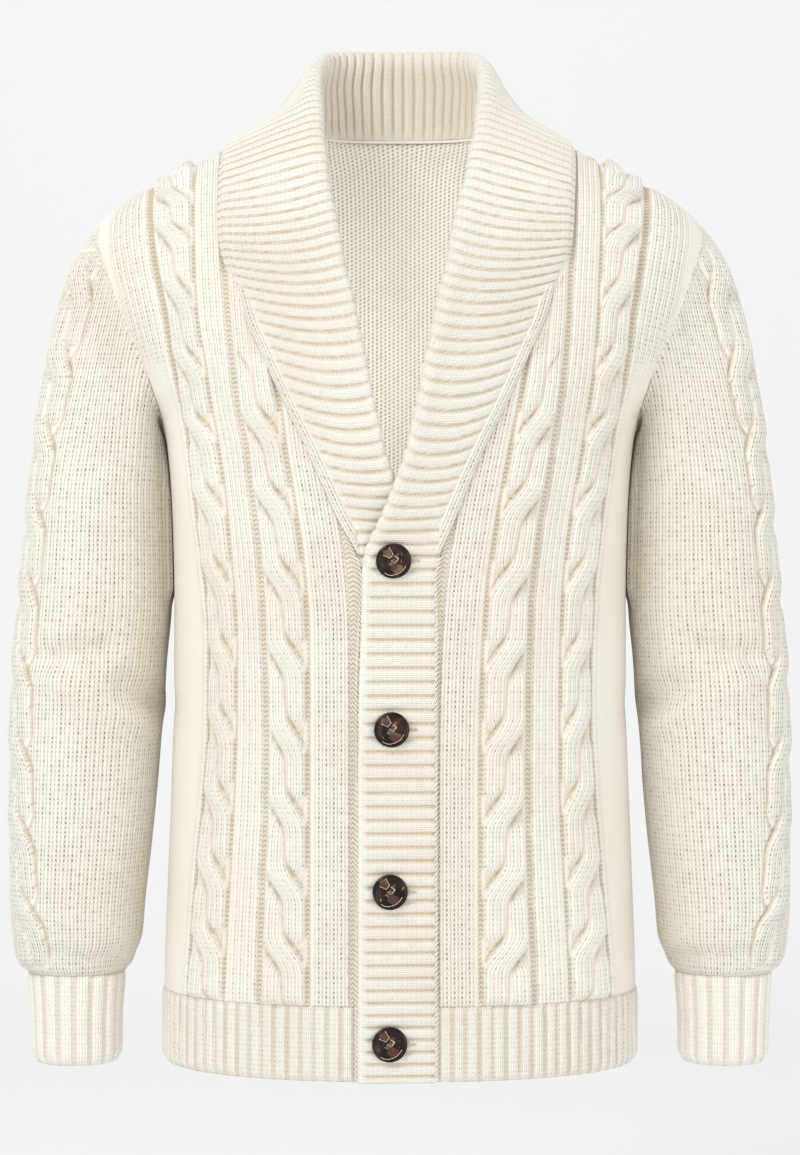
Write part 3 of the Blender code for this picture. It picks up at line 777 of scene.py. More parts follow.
class Graph:
    """Adds and links the nodes of one tree."""

    def __init__(self, tree: bpy.types.NodeTree) -> None:
        """Start on a tree."""
        self.tree = tree

    def plug(self, value: object, socket: Socket) -> None:
        """Link a term or a socket, or set a plain value.

        Args:
            value: A term, a socket or a plain value.
            socket: The input that it goes to.
        """
        value = value.socket if isinstance(value, Term) else value
        if isinstance(value, Socket):
            self.tree.links.new(value, socket)
        else:
            socket.default_value = value

    def wire(self, node: bpy.types.Node, inputs: dict[str | int, object]) -> None:
        """Plug values into a node's inputs."""
        for key, value in inputs.items():
            self.plug(value, node.inputs[key])

    def add(self, kind: str, inputs: dict[str | int, object] | None = None,
            **settings: object) -> bpy.types.Node:
        """New node with its settings and inputs.

        Args:
            kind: Type of the node.
            inputs: Values of its inputs, by name or number.
            settings: Settings of the node itself.

        Returns:
            The node.
        """
        node = self.tree.nodes.new(kind)
        for name, value in settings.items():
            setattr(node, name, value)
        self.wire(node, inputs or {})
        return node

    def term(self, kind: str, inputs: dict[str | int, object], output: str | int,
             **settings: object) -> Term:
        """One output of a new node."""
        return Term(self, self.add(kind, inputs, **settings).outputs[output])

    def math(self, operation: str, *values: object) -> Term:
        """Result of a Math node on terms or numbers."""
        return self.term("ShaderNodeMath", dict(enumerate(values)), 0, operation=operation)

    def part(self, value: Term) -> Term:
        """What a value has over the whole number below it."""
        return self.math("FRACT", value)

    def wave(self, value: Term, power: float) -> Term:
        """Rows of rounded ridges: the power of |sin(pi value)|."""
        return self.math("POWER", abs(self.math("SINE", value * math.pi)), power)

    def ramp(self, value: Term, low: float, high: float) -> Term:
        """Value eased from 0 at low to 1 at high."""
        ends = {"Value": value, "From Min": low, "From Max": high}
        return self.term("ShaderNodeMapRange", ends, "Result", interpolation_type="SMOOTHSTEP")

    def pick(self, factor: Term, first: Term, second: Term) -> Term:
        """Number mixed from two numbers."""
        return self.term("ShaderNodeMix", {0: factor, 2: first, 3: second}, 0, data_type="FLOAT")

    def blend(self, factor: Term, first: object, second: object) -> Term:
        """Colour mixed from two colours."""
        return self.term("ShaderNodeMix", {0: factor, 6: first, 7: second}, 2, data_type="RGBA")

    def noise(self, scale: float, detail: float = 2.0, distortion: float = 0.0) -> Term:
        """Noise on the piece's own coordinates.

        Args:
            scale: How fine the noise is.
            detail: How many finer layers it has.
            distortion: How far it is bent.

        Returns:
            The noise, from 0 to 1.
        """
        coords = self.add("ShaderNodeTexCoord").outputs["Object"]
        sizes = {"Vector": coords, "Scale": scale, "Detail": detail, "Distortion": distortion}
        return self.term("ShaderNodeTexNoise", sizes, "Fac")

    def carried(self, name: str) -> Term:
        """Number that the piece carries at each point, in a material."""
        return self.term("ShaderNodeAttribute", {}, "Fac", attribute_name=name)

    def named(self, name: str, kind: str = "FLOAT") -> Term:
        """Attribute of the piece, in a Geometry Nodes tree."""
        node = self.add("GeometryNodeInputNamedAttribute", {"Name": name}, data_type=kind)
        return Term(self, next(s for s in node.outputs if s.enabled and s.name == "Attribute"))


class Bench:
    """Geometry Nodes trees, and how they are made plain meshes."""

    @staticmethod
    def tree(name: str, sizes: dict[str, float]) -> tuple[Graph, bpy.types.Node]:
        """Empty tree with geometry in and out, and a named input for each size.

        Args:
            name: Name of the tree.
            sizes: Inputs with their values.

        Returns:
            The graph and its input node.
        """
        made = bpy.data.node_groups.new(name, "GeometryNodeTree")
        made.interface.new_socket("Geometry", in_out="INPUT", socket_type="NodeSocketGeometry")
        for label, value in sizes.items():
            socket = made.interface.new_socket(label, in_out="INPUT", socket_type="NodeSocketFloat")
            socket.default_value = value
        made.interface.new_socket("Geometry", in_out="OUTPUT", socket_type="NodeSocketGeometry")
        graph = Graph(made)
        return graph, graph.add("NodeGroupInput")

    @staticmethod
    def close(graph: Graph, shape: Socket, finish: bpy.types.Material) -> bpy.types.NodeTree:
        """End a tree in Realize Instances and Set Material.

        Args:
            graph: The tree's graph.
            shape: The geometry.
            finish: The material that it ends in.

        Returns:
            The tree.
        """
        real = graph.add("GeometryNodeRealizeInstances", {0: shape})
        paint = {"Geometry": real.outputs[0], "Material": finish}
        painted = graph.add("GeometryNodeSetMaterial", paint)
        graph.add("NodeGroupOutput", {0: painted.outputs[0]})
        return graph.tree

    @staticmethod
    def bake(thing: bpy.types.Object, tree: bpy.types.NodeTree, sizes: dict[str, float]) -> None:
        """Run a tree on an object and keep the result as its plain mesh.

        Args:
            thing: The object.
            tree: The Geometry Nodes tree.
            sizes: Values of the tree's named inputs.
        """
        modifier = thing.modifiers.new(tree.name, "NODES")
        modifier.node_group = tree
        for item in tree.interface.items_tree:
            if item.in_out == "INPUT" and item.name in sizes:
                modifier[item.identifier] = float(sizes[item.name])
        ready = thing.evaluated_get(bpy.context.evaluated_depsgraph_get())
        mesh = bpy.data.meshes.new_from_object(ready)
        thing.modifiers.remove(modifier)
        old = thing.data
        thing.data = mesh
        bpy.data.meshes.remove(old)
        mesh.name = thing.name


@dataclass(frozen=True)
class KnitRelief:
    """Relief of the knitting: rounded wales, ribs and what the piece itself lifts."""

    wale_height: float = 0.0007
    ridge_height: float = 0.0015
    valley_depth: float = 0.0013

    def sizes(self) -> dict[str, float]:
        """Values of the tree's inputs."""
        return {"Wale height": self.wale_height, "Ridge height": self.ridge_height,
                "Valley depth": self.valley_depth, "Ridge share": RIDGE_SHARE}

    def tree(self, finish: bpy.types.Material) -> bpy.types.NodeTree:
        """Tree that moves a piece's outer side out by its stitches.

        Args:
            finish: The material that it ends in.

        Returns:
            The tree.
        """
        graph, start = Bench.tree("knit relief", self.sizes())
        wale_height, ridge_height, valley_depth, share = (
            Term(graph, start.outputs[name]) for name in self.sizes())
        arch = graph.wave(graph.named("stitch_wale"), 0.5) - 0.6
        wale = arch * (1.0 - graph.named("purl")) * wale_height
        place = graph.part(graph.named("rib"))
        on_ridge = graph.math("LESS_THAN", place, share)
        on = place / share
        ridge = (graph.wave(on, 0.45) * 0.8 + graph.wave(on * 2.0, 0.5) * 0.2) * ridge_height
        valley = graph.wave((place - share) / (1.0 - share), 0.6) * valley_depth
        ribs = ridge * on_ridge - valley * (1.0 - on_ridge)
        weight = graph.named("ribbing")
        height = ribs * weight + wale * (1.0 - weight)
        height = (height + graph.named("lift")) * graph.named("amount")
        way = {0: graph.named("out", "FLOAT_VECTOR"), "Scale": height}
        offset = graph.add("ShaderNodeVectorMath", way, operation="SCALE").outputs[0]
        moved = graph.add("GeometryNodeSetPosition",
                          {"Geometry": start.outputs["Geometry"], "Offset": offset})
        return Bench.close(graph, moved.outputs[0], finish)


@dataclass(frozen=True)
class StitchRow:
    """A row of small stitches along a line, each lying its own way."""

    pitch: float
    length: float
    thickness: float
    variation: float = 0.12
    seed: int = 7

    def sizes(self) -> dict[str, float]:
        """Values of the tree's inputs."""
        return {"Pitch": self.pitch, "Length": self.length, "Thickness": self.thickness,
                "Variation": self.variation}

    def tree(self, finish: bpy.types.Material) -> bpy.types.NodeTree:
        """Tree that sets a stitch at every pitch along the line, one for each finish.

        Args:
            finish: The material that it ends in.

        Returns:
            The tree.
        """
        name = "stitch row in " + finish.name
        if name in bpy.data.node_groups:
            return bpy.data.node_groups[name]
        graph, start = Bench.tree(name, self.sizes())
        pitch, length, thickness, variation = (
            Term(graph, start.outputs[name]) for name in self.sizes())
        line = graph.add("GeometryNodeMeshToCurve", {"Mesh": start.outputs["Geometry"]})
        even = graph.add("GeometryNodeResampleCurve", {"Curve": line.outputs[0], "Length": pitch},
                         mode="LENGTH")
        bead = graph.add("GeometryNodeMeshUVSphere", {"Segments": 8, "Rings": 6, "Radius": 0.5})
        turn = graph.add("FunctionNodeAlignRotationToVector",
                         {"Vector": graph.named("way", "FLOAT_VECTOR")}, axis="X")
        uneven = graph.add("FunctionNodeRandomValue", {"Seed": self.seed}, data_type="FLOAT")
        low, high = [s for s in uneven.inputs if s.enabled][:2]
        graph.plug(1.0 - variation, low)
        graph.plug(variation + 1.0, high)
        factor = next(s for s in uneven.outputs if s.enabled)
        size = graph.add("ShaderNodeCombineXYZ",
                         {"X": length * factor, "Y": thickness, "Z": thickness})
        placed = graph.add("GeometryNodeInstanceOnPoints", {
            "Points": even.outputs[0], "Instance": bead.outputs["Mesh"],
            "Rotation": turn.outputs[0], "Scale": size.outputs[0]})
        return Bench.close(graph, placed.outputs[0], finish)

    def sew(self, name: str, points: Array, ways: Array,
            finish: bpy.types.Material) -> bpy.types.Object:
        """Set the stitches along a line.

        Args:
            name: Name of the row.
            points: Points of the line.
            ways: Way in which a stitch lies at each point.
            finish: The yarn.

        Returns:
            One mesh with all the stitches.
        """
        mesh = bpy.data.meshes.new(name)
        mesh.from_pydata(points.tolist(), [(k, k + 1) for k in range(len(points) - 1)], [])
        store(mesh, "way", ways)
        thing = link(name, mesh)
        Bench.bake(thing, self.tree(finish), self.sizes())
        thing.data.shade_smooth()
        return thing


# ----------------------------------------------------------------------------------- finishes


def new_material(name: str) -> tuple[bpy.types.Material, Graph, bpy.types.Node]:
    """Material with its graph and its shader.

    Args:
        name: Name of the finish.

    Returns:
        The material, its graph and its shader.
    """
    made = bpy.data.materials.new(name)
    made.use_nodes = True
    return made, Graph(made.node_tree), made.node_tree.nodes["Principled BSDF"]


@dataclass(frozen=True)
class WoolFinish:
    """Ivory wool in knit and purl stitches, with painted shade in a warm darker colour where it lies
    deep, and in its holes and pits.
    """

    name: str = "ivory_wool"
    light: Colour = (0.900, 0.875, 0.805, 1.0)
    warm: Colour = (0.870, 0.828, 0.735, 1.0)
    # Colour of the painted shade in hollows, channels and the low parts of stitches; it also gives a
    # little random tone from stitch to stitch.
    deep: Colour = (0.560, 0.445, 0.295, 1.0)
    # Colour of the painted shade in the holes between stitches and in the reverse side's pits.
    hole: Colour = (0.200, 0.155, 0.090, 1.0)
    bump: float = 0.0011
    fibre: float = 0.00022
    leg_slope: float = 0.85

    def make(self) -> bpy.types.Material:
        """Material that reads the knit UV map and the piece's attributes.

        Returns:
            The material.
        """
        made, graph, shader = new_material(self.name)
        knit_map = graph.add("ShaderNodeUVMap", uv_map="knit").outputs[0]
        spot = graph.add("ShaderNodeSeparateXYZ", {0: knit_map})
        purl, shade, calm, front = (graph.carried(n) for n in ("purl", "shade", "calm", "front"))
        uneven, patches, fibres = (graph.noise(*n) for n in ((95.0, 2.0), (9.0, 1.0), (900.0, 3.0)))
        wale = Term(graph, spot.outputs[0]) + (uneven - 0.5) * 0.10
        row = Term(graph, spot.outputs[1]) + (uneven - 0.5) * 0.35
        across = graph.part(wale)
        aside = abs(across - 0.5) * 2.0
        slant = aside * self.leg_slope
        knit = graph.wave(across * 2.0, 0.45) * (graph.wave(row - slant, 0.6) * 0.5 + 0.5)
        purled = graph.wave(row + slant, 0.8) * 0.75 + 0.1
        pit = self.pits(graph, wale, row)
        height = graph.pick(front, 1.0 - pit, graph.pick(purl, knit, purled))
        # Painted shade in dots: the holes between wales on the outer side, the pits on the reverse
        # side.
        shaded_dots = graph.ramp(aside, 0.70, 0.96) + graph.ramp(aside, 0.24, 0.05) * 0.40
        between = graph.ramp(abs(graph.part(row) - 0.5), 0.22, 0.44)
        chance = self.chance(graph, wale, row)
        open_knit = (1.0 - purl) * (1.0 - calm)
        holes = shaded_dots * between * (chance * 1.15 + 0.30) * open_knit * 0.75
        holes = graph.pick(front, pit * 0.62, holes)
        # Painted shade: the low parts of each stitch, and what the piece's shade attribute gives, both
        # mixed towards the deep colour.
        low = (1.0 - height) * (purl * 0.42 + 0.26) * (1.0 - calm * 0.6)
        depth = graph.math("MINIMUM", graph.math("MAXIMUM", shade + low, 0.0), 1.0)
        body = graph.blend(graph.ramp(patches, 0.35, 0.70), self.light, self.warm)
        body = graph.blend(fibres * 0.22, body, self.warm)
        body = graph.blend(chance * (open_knit * 0.09), body, self.deep)
        # Painted shade over the wool's own tones: first the deep colour, then the dark holes.
        body = graph.blend(holes, graph.blend(depth, body, self.deep), self.hole)
        relief = height * (1.0 - calm * 0.55) - holes * 0.5
        stitches = graph.add("ShaderNodeBump", {
            "Distance": self.bump, "Strength": 0.85, "Height": relief})
        hairs = graph.add("ShaderNodeBump", {
            "Distance": self.fibre, "Strength": 0.7, "Height": fibres, "Normal": stitches.outputs[0]})
        graph.wire(shader, {
            "Base Color": body, "Normal": hairs.outputs[0], "Roughness": 0.92,
            "Specular IOR Level": 0.18, "Sheen Weight": 0.22, "Sheen Roughness": 0.55})
        return made

    @staticmethod
    def chance(graph: Graph, wale: Term, row: Term) -> Term:
        """Number from 0 to 1 that differs from stitch to stitch.

        Args:
            graph: The tree's graph.
            wale: Places in wales.
            row: Places in rows.

        Returns:
            The number.
        """
        cell = graph.add("ShaderNodeCombineXYZ", {
            0: graph.math("FLOOR", wale + 0.5), 1: graph.math("FLOOR", row + 0.5)})
        dice = {"Vector": cell.outputs[0]}
        return graph.term("ShaderNodeTexWhiteNoise", dice, "Value", noise_dimensions="2D")

    @staticmethod
    def pits(graph: Graph, wale: Term, row: Term) -> Term:
        """Staggered pits of the reverse side, 1 in the middle of each.

        Args:
            graph: The tree's graph.
            wale: Places in wales.
            row: Places in rows.

        Returns:
            Depth of the pits.
        """
        along = wale * 1.8
        aside = graph.part(along) - 0.5
        odd = graph.math("MODULO", graph.math("FLOOR", along), 2.0) * 0.5
        above = graph.part(row * 1.1 + odd + aside * 0.8) - 0.5
        return graph.ramp(graph.math("SQRT", aside * aside + above * above), 0.30, 0.11)


@dataclass(frozen=True)
class HornFinish:
    """Dark polished horn with amber marbling, with painted reflections on the facets and painted
    highlights on the ridges and the lips of the holes.
    """

    name: str = "marbled_horn"
    dark: Colour = (0.010, 0.005, 0.003, 1.0)
    amber: Colour = (0.040, 0.018, 0.011, 1.0)
    pale: Colour = (0.300, 0.190, 0.120, 1.0)
    # The next two colours are painted reflections in the dish, and the third is a pale painted
    # highlight.
    facet_reflection: Colour = (0.075, 0.036, 0.026, 1.0)
    olive_reflection: Colour = (0.165, 0.112, 0.062, 1.0)
    edge: Colour = (0.860, 0.640, 0.500, 1.0)

    def make(self) -> bpy.types.Material:
        """Material with veins in the piece's own coordinates.

        Returns:
            The material.
        """
        made, graph, shader = new_material(self.name)
        clouds, veins = graph.noise(70.0, 3.0, 1.2), graph.noise(150.0, 2.0, 2.5)
        painted_reflection = graph.carried("painted_reflection")
        colour = graph.blend(graph.ramp(clouds, 0.48, 0.66), self.dark, self.amber)
        colour = graph.blend(graph.ramp(veins, 0.66, 0.76), colour, self.pale)
        # Painted reflections where the horn carries 0.5 of the attribute, painted highlights where it
        # carries 1.
        facet_reflection = graph.blend(graph.ramp(clouds, 0.46, 0.68), self.facet_reflection, self.olive_reflection)
        colour = graph.blend(graph.ramp(painted_reflection, 0.25, 0.45), colour, facet_reflection)
        colour = graph.blend(graph.ramp(painted_reflection, 0.75, 0.95), colour, self.edge)
        graph.wire(shader, {
            "Base Color": colour, "Roughness": 0.16, "Specular IOR Level": 0.20,
            "Coat Weight": 0.12, "Coat Roughness": 0.06})
        return made


@dataclass(frozen=True)
class PlainFinish:
    """Matt finish of one colour with a little mottling, for the thread and the room."""

    name: str
    colour: Colour
    roughness: float = 0.9
    mottling: float = 0.94

    def make(self) -> bpy.types.Material:
        """Material with fine mottling.

        Returns:
            The material.
        """
        made, graph, shader = new_material(self.name)
        darker = tuple(c * self.mottling for c in self.colour[:3]) + (1.0,)
        colour = graph.blend(graph.noise(600.0), self.colour, darker)
        graph.wire(shader, {"Base Color": colour, "Roughness": self.roughness})
        return made


# ------------------------------------------------------------------------------------ fabric


@dataclass(frozen=True)
class Crease:
    """A soft trough or ridge in the cloth, between two places seen from the front or back."""

    start: Spot
    end: Spot
    width: float
    depth: float
    behind: bool = False

    def lift(self, points: Array, out: Array) -> Array:
        """How far the crease moves each point out.

        Args:
            points: Points of a piece.
            out: Ways out of the piece there.

        Returns:
            Distances, below 0 in a trough.
        """
        first, last = np.array(self.start), np.array(self.end)
        along = last - first
        flat = points[..., [0, 2]] - first
        share = np.clip(flat @ along / (along @ along), 0.0, 1.0)
        away = np.linalg.norm(flat - share[..., None] * along, axis=-1)
        facing = out[..., 1] if self.behind else -out[..., 1]
        seen = smooth(facing / 0.5 + 0.3)
        return self.depth * near(away, self.width) * seen


@dataclass(frozen=True)
class Rope:
    """A rope cable of two strands that cross at given heights."""

    crossings: tuple[float, ...]
    height: float = 0.0045
    ramp: float = 0.58
    reach: float = 0.32

    def count(self, height: Array) -> Array:
        """How many crossings lie above a height, in parts of a period.

        Args:
            height: Heights.

        Returns:
            A number for each height.
        """
        places = np.array(self.crossings)
        first, last = places[0] - places[1], places[-2] - places[-1]
        low = places[-1] - last * np.arange(3, 0, -1)
        high = places[0] + first * np.arange(1, 4)
        every = np.concatenate([low, places[::-1], high])
        return np.interp(height, every, np.arange(len(every), 0, -1))

    def centres(self, height: Array) -> tuple[Array, Array, Array]:
        """Middle of the upper strand and of the lower one, and half the width of both.

        Args:
            height: Heights.

        Returns:
            Places across the cable's zone, and half the width.
        """
        count = self.count(height)
        phase = count - np.round(count)
        move = smooth(phase / self.ramp + 0.5)
        bell = np.cos(np.clip(phase / 0.84, -0.5, 0.5) * math.pi) ** 2
        return 0.75 - 0.5 * move, 0.25 + 0.5 * move, self.reach * (1 + 0.10 * bell)

    def outline(self, height: Array) -> tuple[Array, Array]:
        """Borders of the strands across the cable's zone."""
        over, under, wide = self.centres(height)
        return np.minimum(over, under) - wide, np.maximum(over, under) + wide

    def cleft(self, across: Array, height: Array) -> Array:
        """1 beside the upper strand where it rides over the other, 0 away from the crossings.

        Args:
            across: Places across the cable's zone.
            height: Heights.

        Returns:
            Strength of the cleft.
        """
        over, under, wide = self.centres(height)
        bell = (wide / self.reach - 1) / 0.10
        beside = near(np.abs(across - over) / wide - 1.05, 0.16)
        return beside * bell * (np.abs(across - under) < wide)

    def relief(self, across: Array, height: Array) -> tuple[Array, Array, Array]:
        """Relief and wales of the cable.

        Args:
            across: Place in the cable's zone, 0 nearest the centre front, 1 furthest.
            height: Heights.

        Returns:
            How far each point is lifted, its place in wales, and how bare of a strand it is.
        """
        over, under, wide = self.centres(height)
        bell = (wide / self.reach - 1) / 0.10
        q_over, q_under = np.abs(across - over) / wide, np.abs(across - under) / wide
        top = np.clip(1 - q_over ** 2.4, 0, 1) ** 0.5 + 0.55 * bell * (q_over < 1)
        low = np.clip(1 - q_under ** 2.4, 0, 1) ** 0.5 * (1 - 0.20 * bell) - 0.70 * bell
        front = top >= low
        lift = np.maximum(np.where(front, top, low), -0.12) - 0.22 * self.cleft(across, height)
        wale = np.where(front, (across - over) * 6, (across - under) * 6) + 1.5
        bare = smooth((0.20 - lift) / 0.25)
        return lift * self.height, wale, bare


@dataclass(frozen=True)
class PurlChannel:
    """A sunk channel of purl stitches between raised columns, with painted shade in it."""

    share: float
    # Strength of the painted shade across the channel.
    painted_shade: float
    depth: float = 0.0022

    def stitch(self, place: float) -> dict[str, float]:
        """Stitches at a place across the channel, from 0 at one side to 1 at the other.

        Args:
            place: Place across, from 0 to 1.

        Returns:
            Fields of the stitches.
        """
        arch = math.sin(place * math.pi) ** 0.7
        return {"lift": -self.depth * arch * self.share, "wale": place, "purl": 1.0,
                "shade": self.painted_shade * arch}


@dataclass(frozen=True)
class Column:
    """A raised column of plain wales."""

    wales: int
    calm: float
    crown: float = 0.0006

    def stitch(self, place: float) -> dict[str, float]:
        """Stitches at a place across the column, from 0 at one side to 1 at the other."""
        return {"lift": self.crown * math.sin(place * math.pi) ** 0.5,
                "wale": place * self.wales, "calm": self.calm}


@dataclass(frozen=True)
class Levels:
    """Rows of a panel: a height for each, closer together where the cloth leans over."""

    low: float
    high: float
    step: float
    fine_above: float = -0.105
    fine_step: float = 0.0012

    def heights(self) -> Array:
        """Heights from the lowest up.

        Returns:
            Heights.
        """
        lower = round((self.fine_above - self.low) / self.step)
        upper = round((self.high - self.fine_above) / self.fine_step)
        rows = np.linspace(self.low, self.fine_above, lower + 1)
        return np.concatenate([rows, np.linspace(self.fine_above, self.high, upper + 1)[1:]])


class SectionRuler:
    """Turns body turns into distances round each level section, and back."""

    def __init__(self, heights: Array) -> None:
        """Measure the sections at some heights.

        Args:
            heights: Heights of the sections.
        """
        self.heights = heights
        self.turns = np.linspace(0.0, 2.0, 801)
        points = BODY.point(self.turns[None, :], heights[:, None])
        steps = np.linalg.norm(np.diff(points, axis=1), axis=2)
        self.arcs = np.concatenate([np.zeros((len(heights), 1)), np.cumsum(steps, axis=1)], axis=1)

    def arc(self, turn: Array) -> Array:
        """Distance from centre front at one turn for each height."""
        pairs = zip(np.broadcast_to(turn, self.heights.shape), self.arcs)
        return np.array([np.interp(t, self.turns, arcs) for t, arcs in pairs])

    def turn(self, arc: Array) -> Array:
        """Turns at a row of distances for each height."""
        return np.array([np.interp(row, arcs, self.turns) for row, arcs in zip(arc, self.arcs)])


def rows_up(points: Array) -> Array:
    """Stitch rows up each column of a grid, measured on the cloth.

    Args:
        points: Points of the grid.

    Returns:
        Places in rows.
    """
    steps = np.linalg.norm(np.diff(points, axis=0), axis=2)
    up = np.concatenate([np.zeros((1, points.shape[1])), np.cumsum(steps, axis=0)])
    return up / ROW


def strand_gaps(wale: Array, closed: bool) -> Array:
    """1 where neighbouring points of a grid belong to different strands.

    Args:
        wale: Places in wales.
        closed: Whether the grid goes all the way round.

    Returns:
        1 at the gaps and 0 elsewhere.
    """
    step = np.abs(np.diff(wale, axis=1, append=wale[:, :1] if closed else wale[:, -1:]))
    jump = ((step > 0.9) & (step < 10)).astype(float)
    beside = np.maximum(jump, np.roll(jump, 1, axis=1))
    above = (np.abs(np.diff(wale, axis=0, append=wale[-1:])) > 0.9).astype(float)
    return np.maximum(beside, np.maximum(above, np.roll(above, 1, axis=0)))


def hollows(lift: Array, closed: bool, span: int, strength: float) -> Array:
    """Painted shade in a relief's hollows, from how far they lie below what is round them, and a
    little painted light where they stand above it.
    """
    round_it = blur(lift, span, closed)
    return np.clip((round_it - lift) * strength, -0.10, 0.6)


def both_sides(turns: Array, heights: Array, mirror: Array) -> tuple[Array, Array]:
    """Points of the body and the ways out there, with every column on its own side.

    Args:
        turns: Turns round the body.
        heights: Heights of the sections.
        mirror: 1 or -1 for each column.

    Returns:
        Points and ways out.
    """
    points, out = BODY.point(turns, heights, 1), BODY.normal(turns, heights, 1)
    points[..., 0] *= mirror
    out[..., 0] *= mirror
    return points, out


def tube_normals(points: Array, angles: Array) -> Array:
    """Ways out of a tube whose columns stand at some angles.

    Args:
        points: Points of the grid.
        angles: Angle of each column.

    Returns:
        Ways out, of length 1.
    """
    wrapped = np.concatenate([points[:, -1:], points, points[:, :1]], axis=1)
    out = unit(np.cross(wrapped[:, 2:] - wrapped[:, :-2], np.gradient(points, axis=0)))
    inward = float((out[-1, :, 0] * np.cos(angles)).sum()) < 0
    return -out if inward else out


def hem_fade(height: Array) -> Array:
    """Strength of a panel's relief, fading at its seam with the hem rib."""
    return smooth((height - BODY.rib_top) / 0.006 + 0.15)


def rib_valley(rib: Array) -> Array:
    """1 in the middle of each valley of a rib, 0 on its ridges."""
    inside = np.clip((rib % 1 - RIDGE_SHARE) / (1 - RIDGE_SHARE), 0, 1)
    return np.sin(inside * math.pi) ** 0.5


def narrow_valleys(rib: Array, share: Array) -> Array:
    """Ribs whose ridges take up a share of each period instead of the usual one.

    Args:
        rib: Places in ribs.
        share: Share of a period that a ridge takes up.

    Returns:
        Places in ribs of the usual share.
    """
    place = rib % 1
    valley = RIDGE_SHARE + (place - share) * (1 - RIDGE_SHARE) / (1 - share)
    return np.floor(rib) + np.where(place < share, place * RIDGE_SHARE / share, valley)


def valley_lines(rib: Array) -> Array:
    """1 along both sides of each valley."""
    return near(rib % 1 - 0.67, 0.04) + near(rib % 1 - 0.97, 0.04)


def rib_wale(rib: Array) -> Array:
    """Wales of a rib: two on each ridge and one in each valley.

    Args:
        rib: Places in ribs.

    Returns:
        Places in wales.
    """
    place = rib % 1
    valley = 2 + (place - RIDGE_SHARE) / (1 - RIDGE_SHARE)
    on = np.where(place < RIDGE_SHARE, place / RIDGE_SHARE * 2, valley)
    return np.floor(rib) * RIB_WALES + on


@dataclass(frozen=True)
class RibLook:
    """How far a rib stands out and how much painted shade its valleys carry."""

    ribbing: float
    calm: float
    # The valley and the line weights set painted shade in the valleys and in dark lines along their
    # sides; the light weight takes painted shade off the whole rib.
    valley: float
    lines: float
    light: float = 0.10

    def fields(self, rib: Array) -> dict[str, Array]:
        """Fields of a knitted piece that is all rib.

        Args:
            rib: Places in ribs.

        Returns:
            The fields by name.
        """
        purl = rib_valley(rib)
        return {"rib": rib, "ribbing": np.full(rib.shape, self.ribbing), "purl": purl,
                "shade": self.valley * purl + self.lines * valley_lines(rib) - self.light,
                "calm": np.full(rib.shape, self.calm)}


# ------------------------------------------------------------------------------------- pieces


@dataclass
class Wardrobe:
    """What every builder shares: the finishes, the relief tree and the creases."""

    wool: bpy.types.Material
    horn: bpy.types.Material
    thread: bpy.types.Material
    cord: bpy.types.Material
    relief: KnitRelief
    tree: bpy.types.NodeTree
    creases: tuple[Crease, ...]
    count: int = 0

    def knit(self, shell: KnitShell, node: str, cut: Cut, *rests_on: str) -> None:
        """Args:
            shell: The knitted piece.
            node: The CAD node that it stands for.
            cut: The sheet that it is made of.
            *rests_on: The pieces that carry it.
        """
        points, out = shell.points, shell.out
        lift = sum((c.lift(points, out) for c in self.creases), np.zeros(points.shape[:-1]))
        shell.points = points + out * lift[..., None]
        thing = shell.build("knit_" + node)
        Bench.bake(thing, self.tree, self.relief.sizes())
        self.declare(thing, node, node)
        cut.declare(thing, rests_on, shell.area())

    def declare(self, thing: bpy.types.Object, slot: str, node: str = "") -> None:
        """Count a piece, hang it under the root, hide the CAD node that it stands for and log its
        faces.

        Args:
            thing: The piece.
            slot: The node whose material it shares; not used.
            node: The CAD node that it stands for, if any.
        """
        self.count += 1
        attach(thing, "root")
        if node:
            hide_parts(node)
        LOG.info("%s: %d faces", thing.name, len(thing.data.polygons))


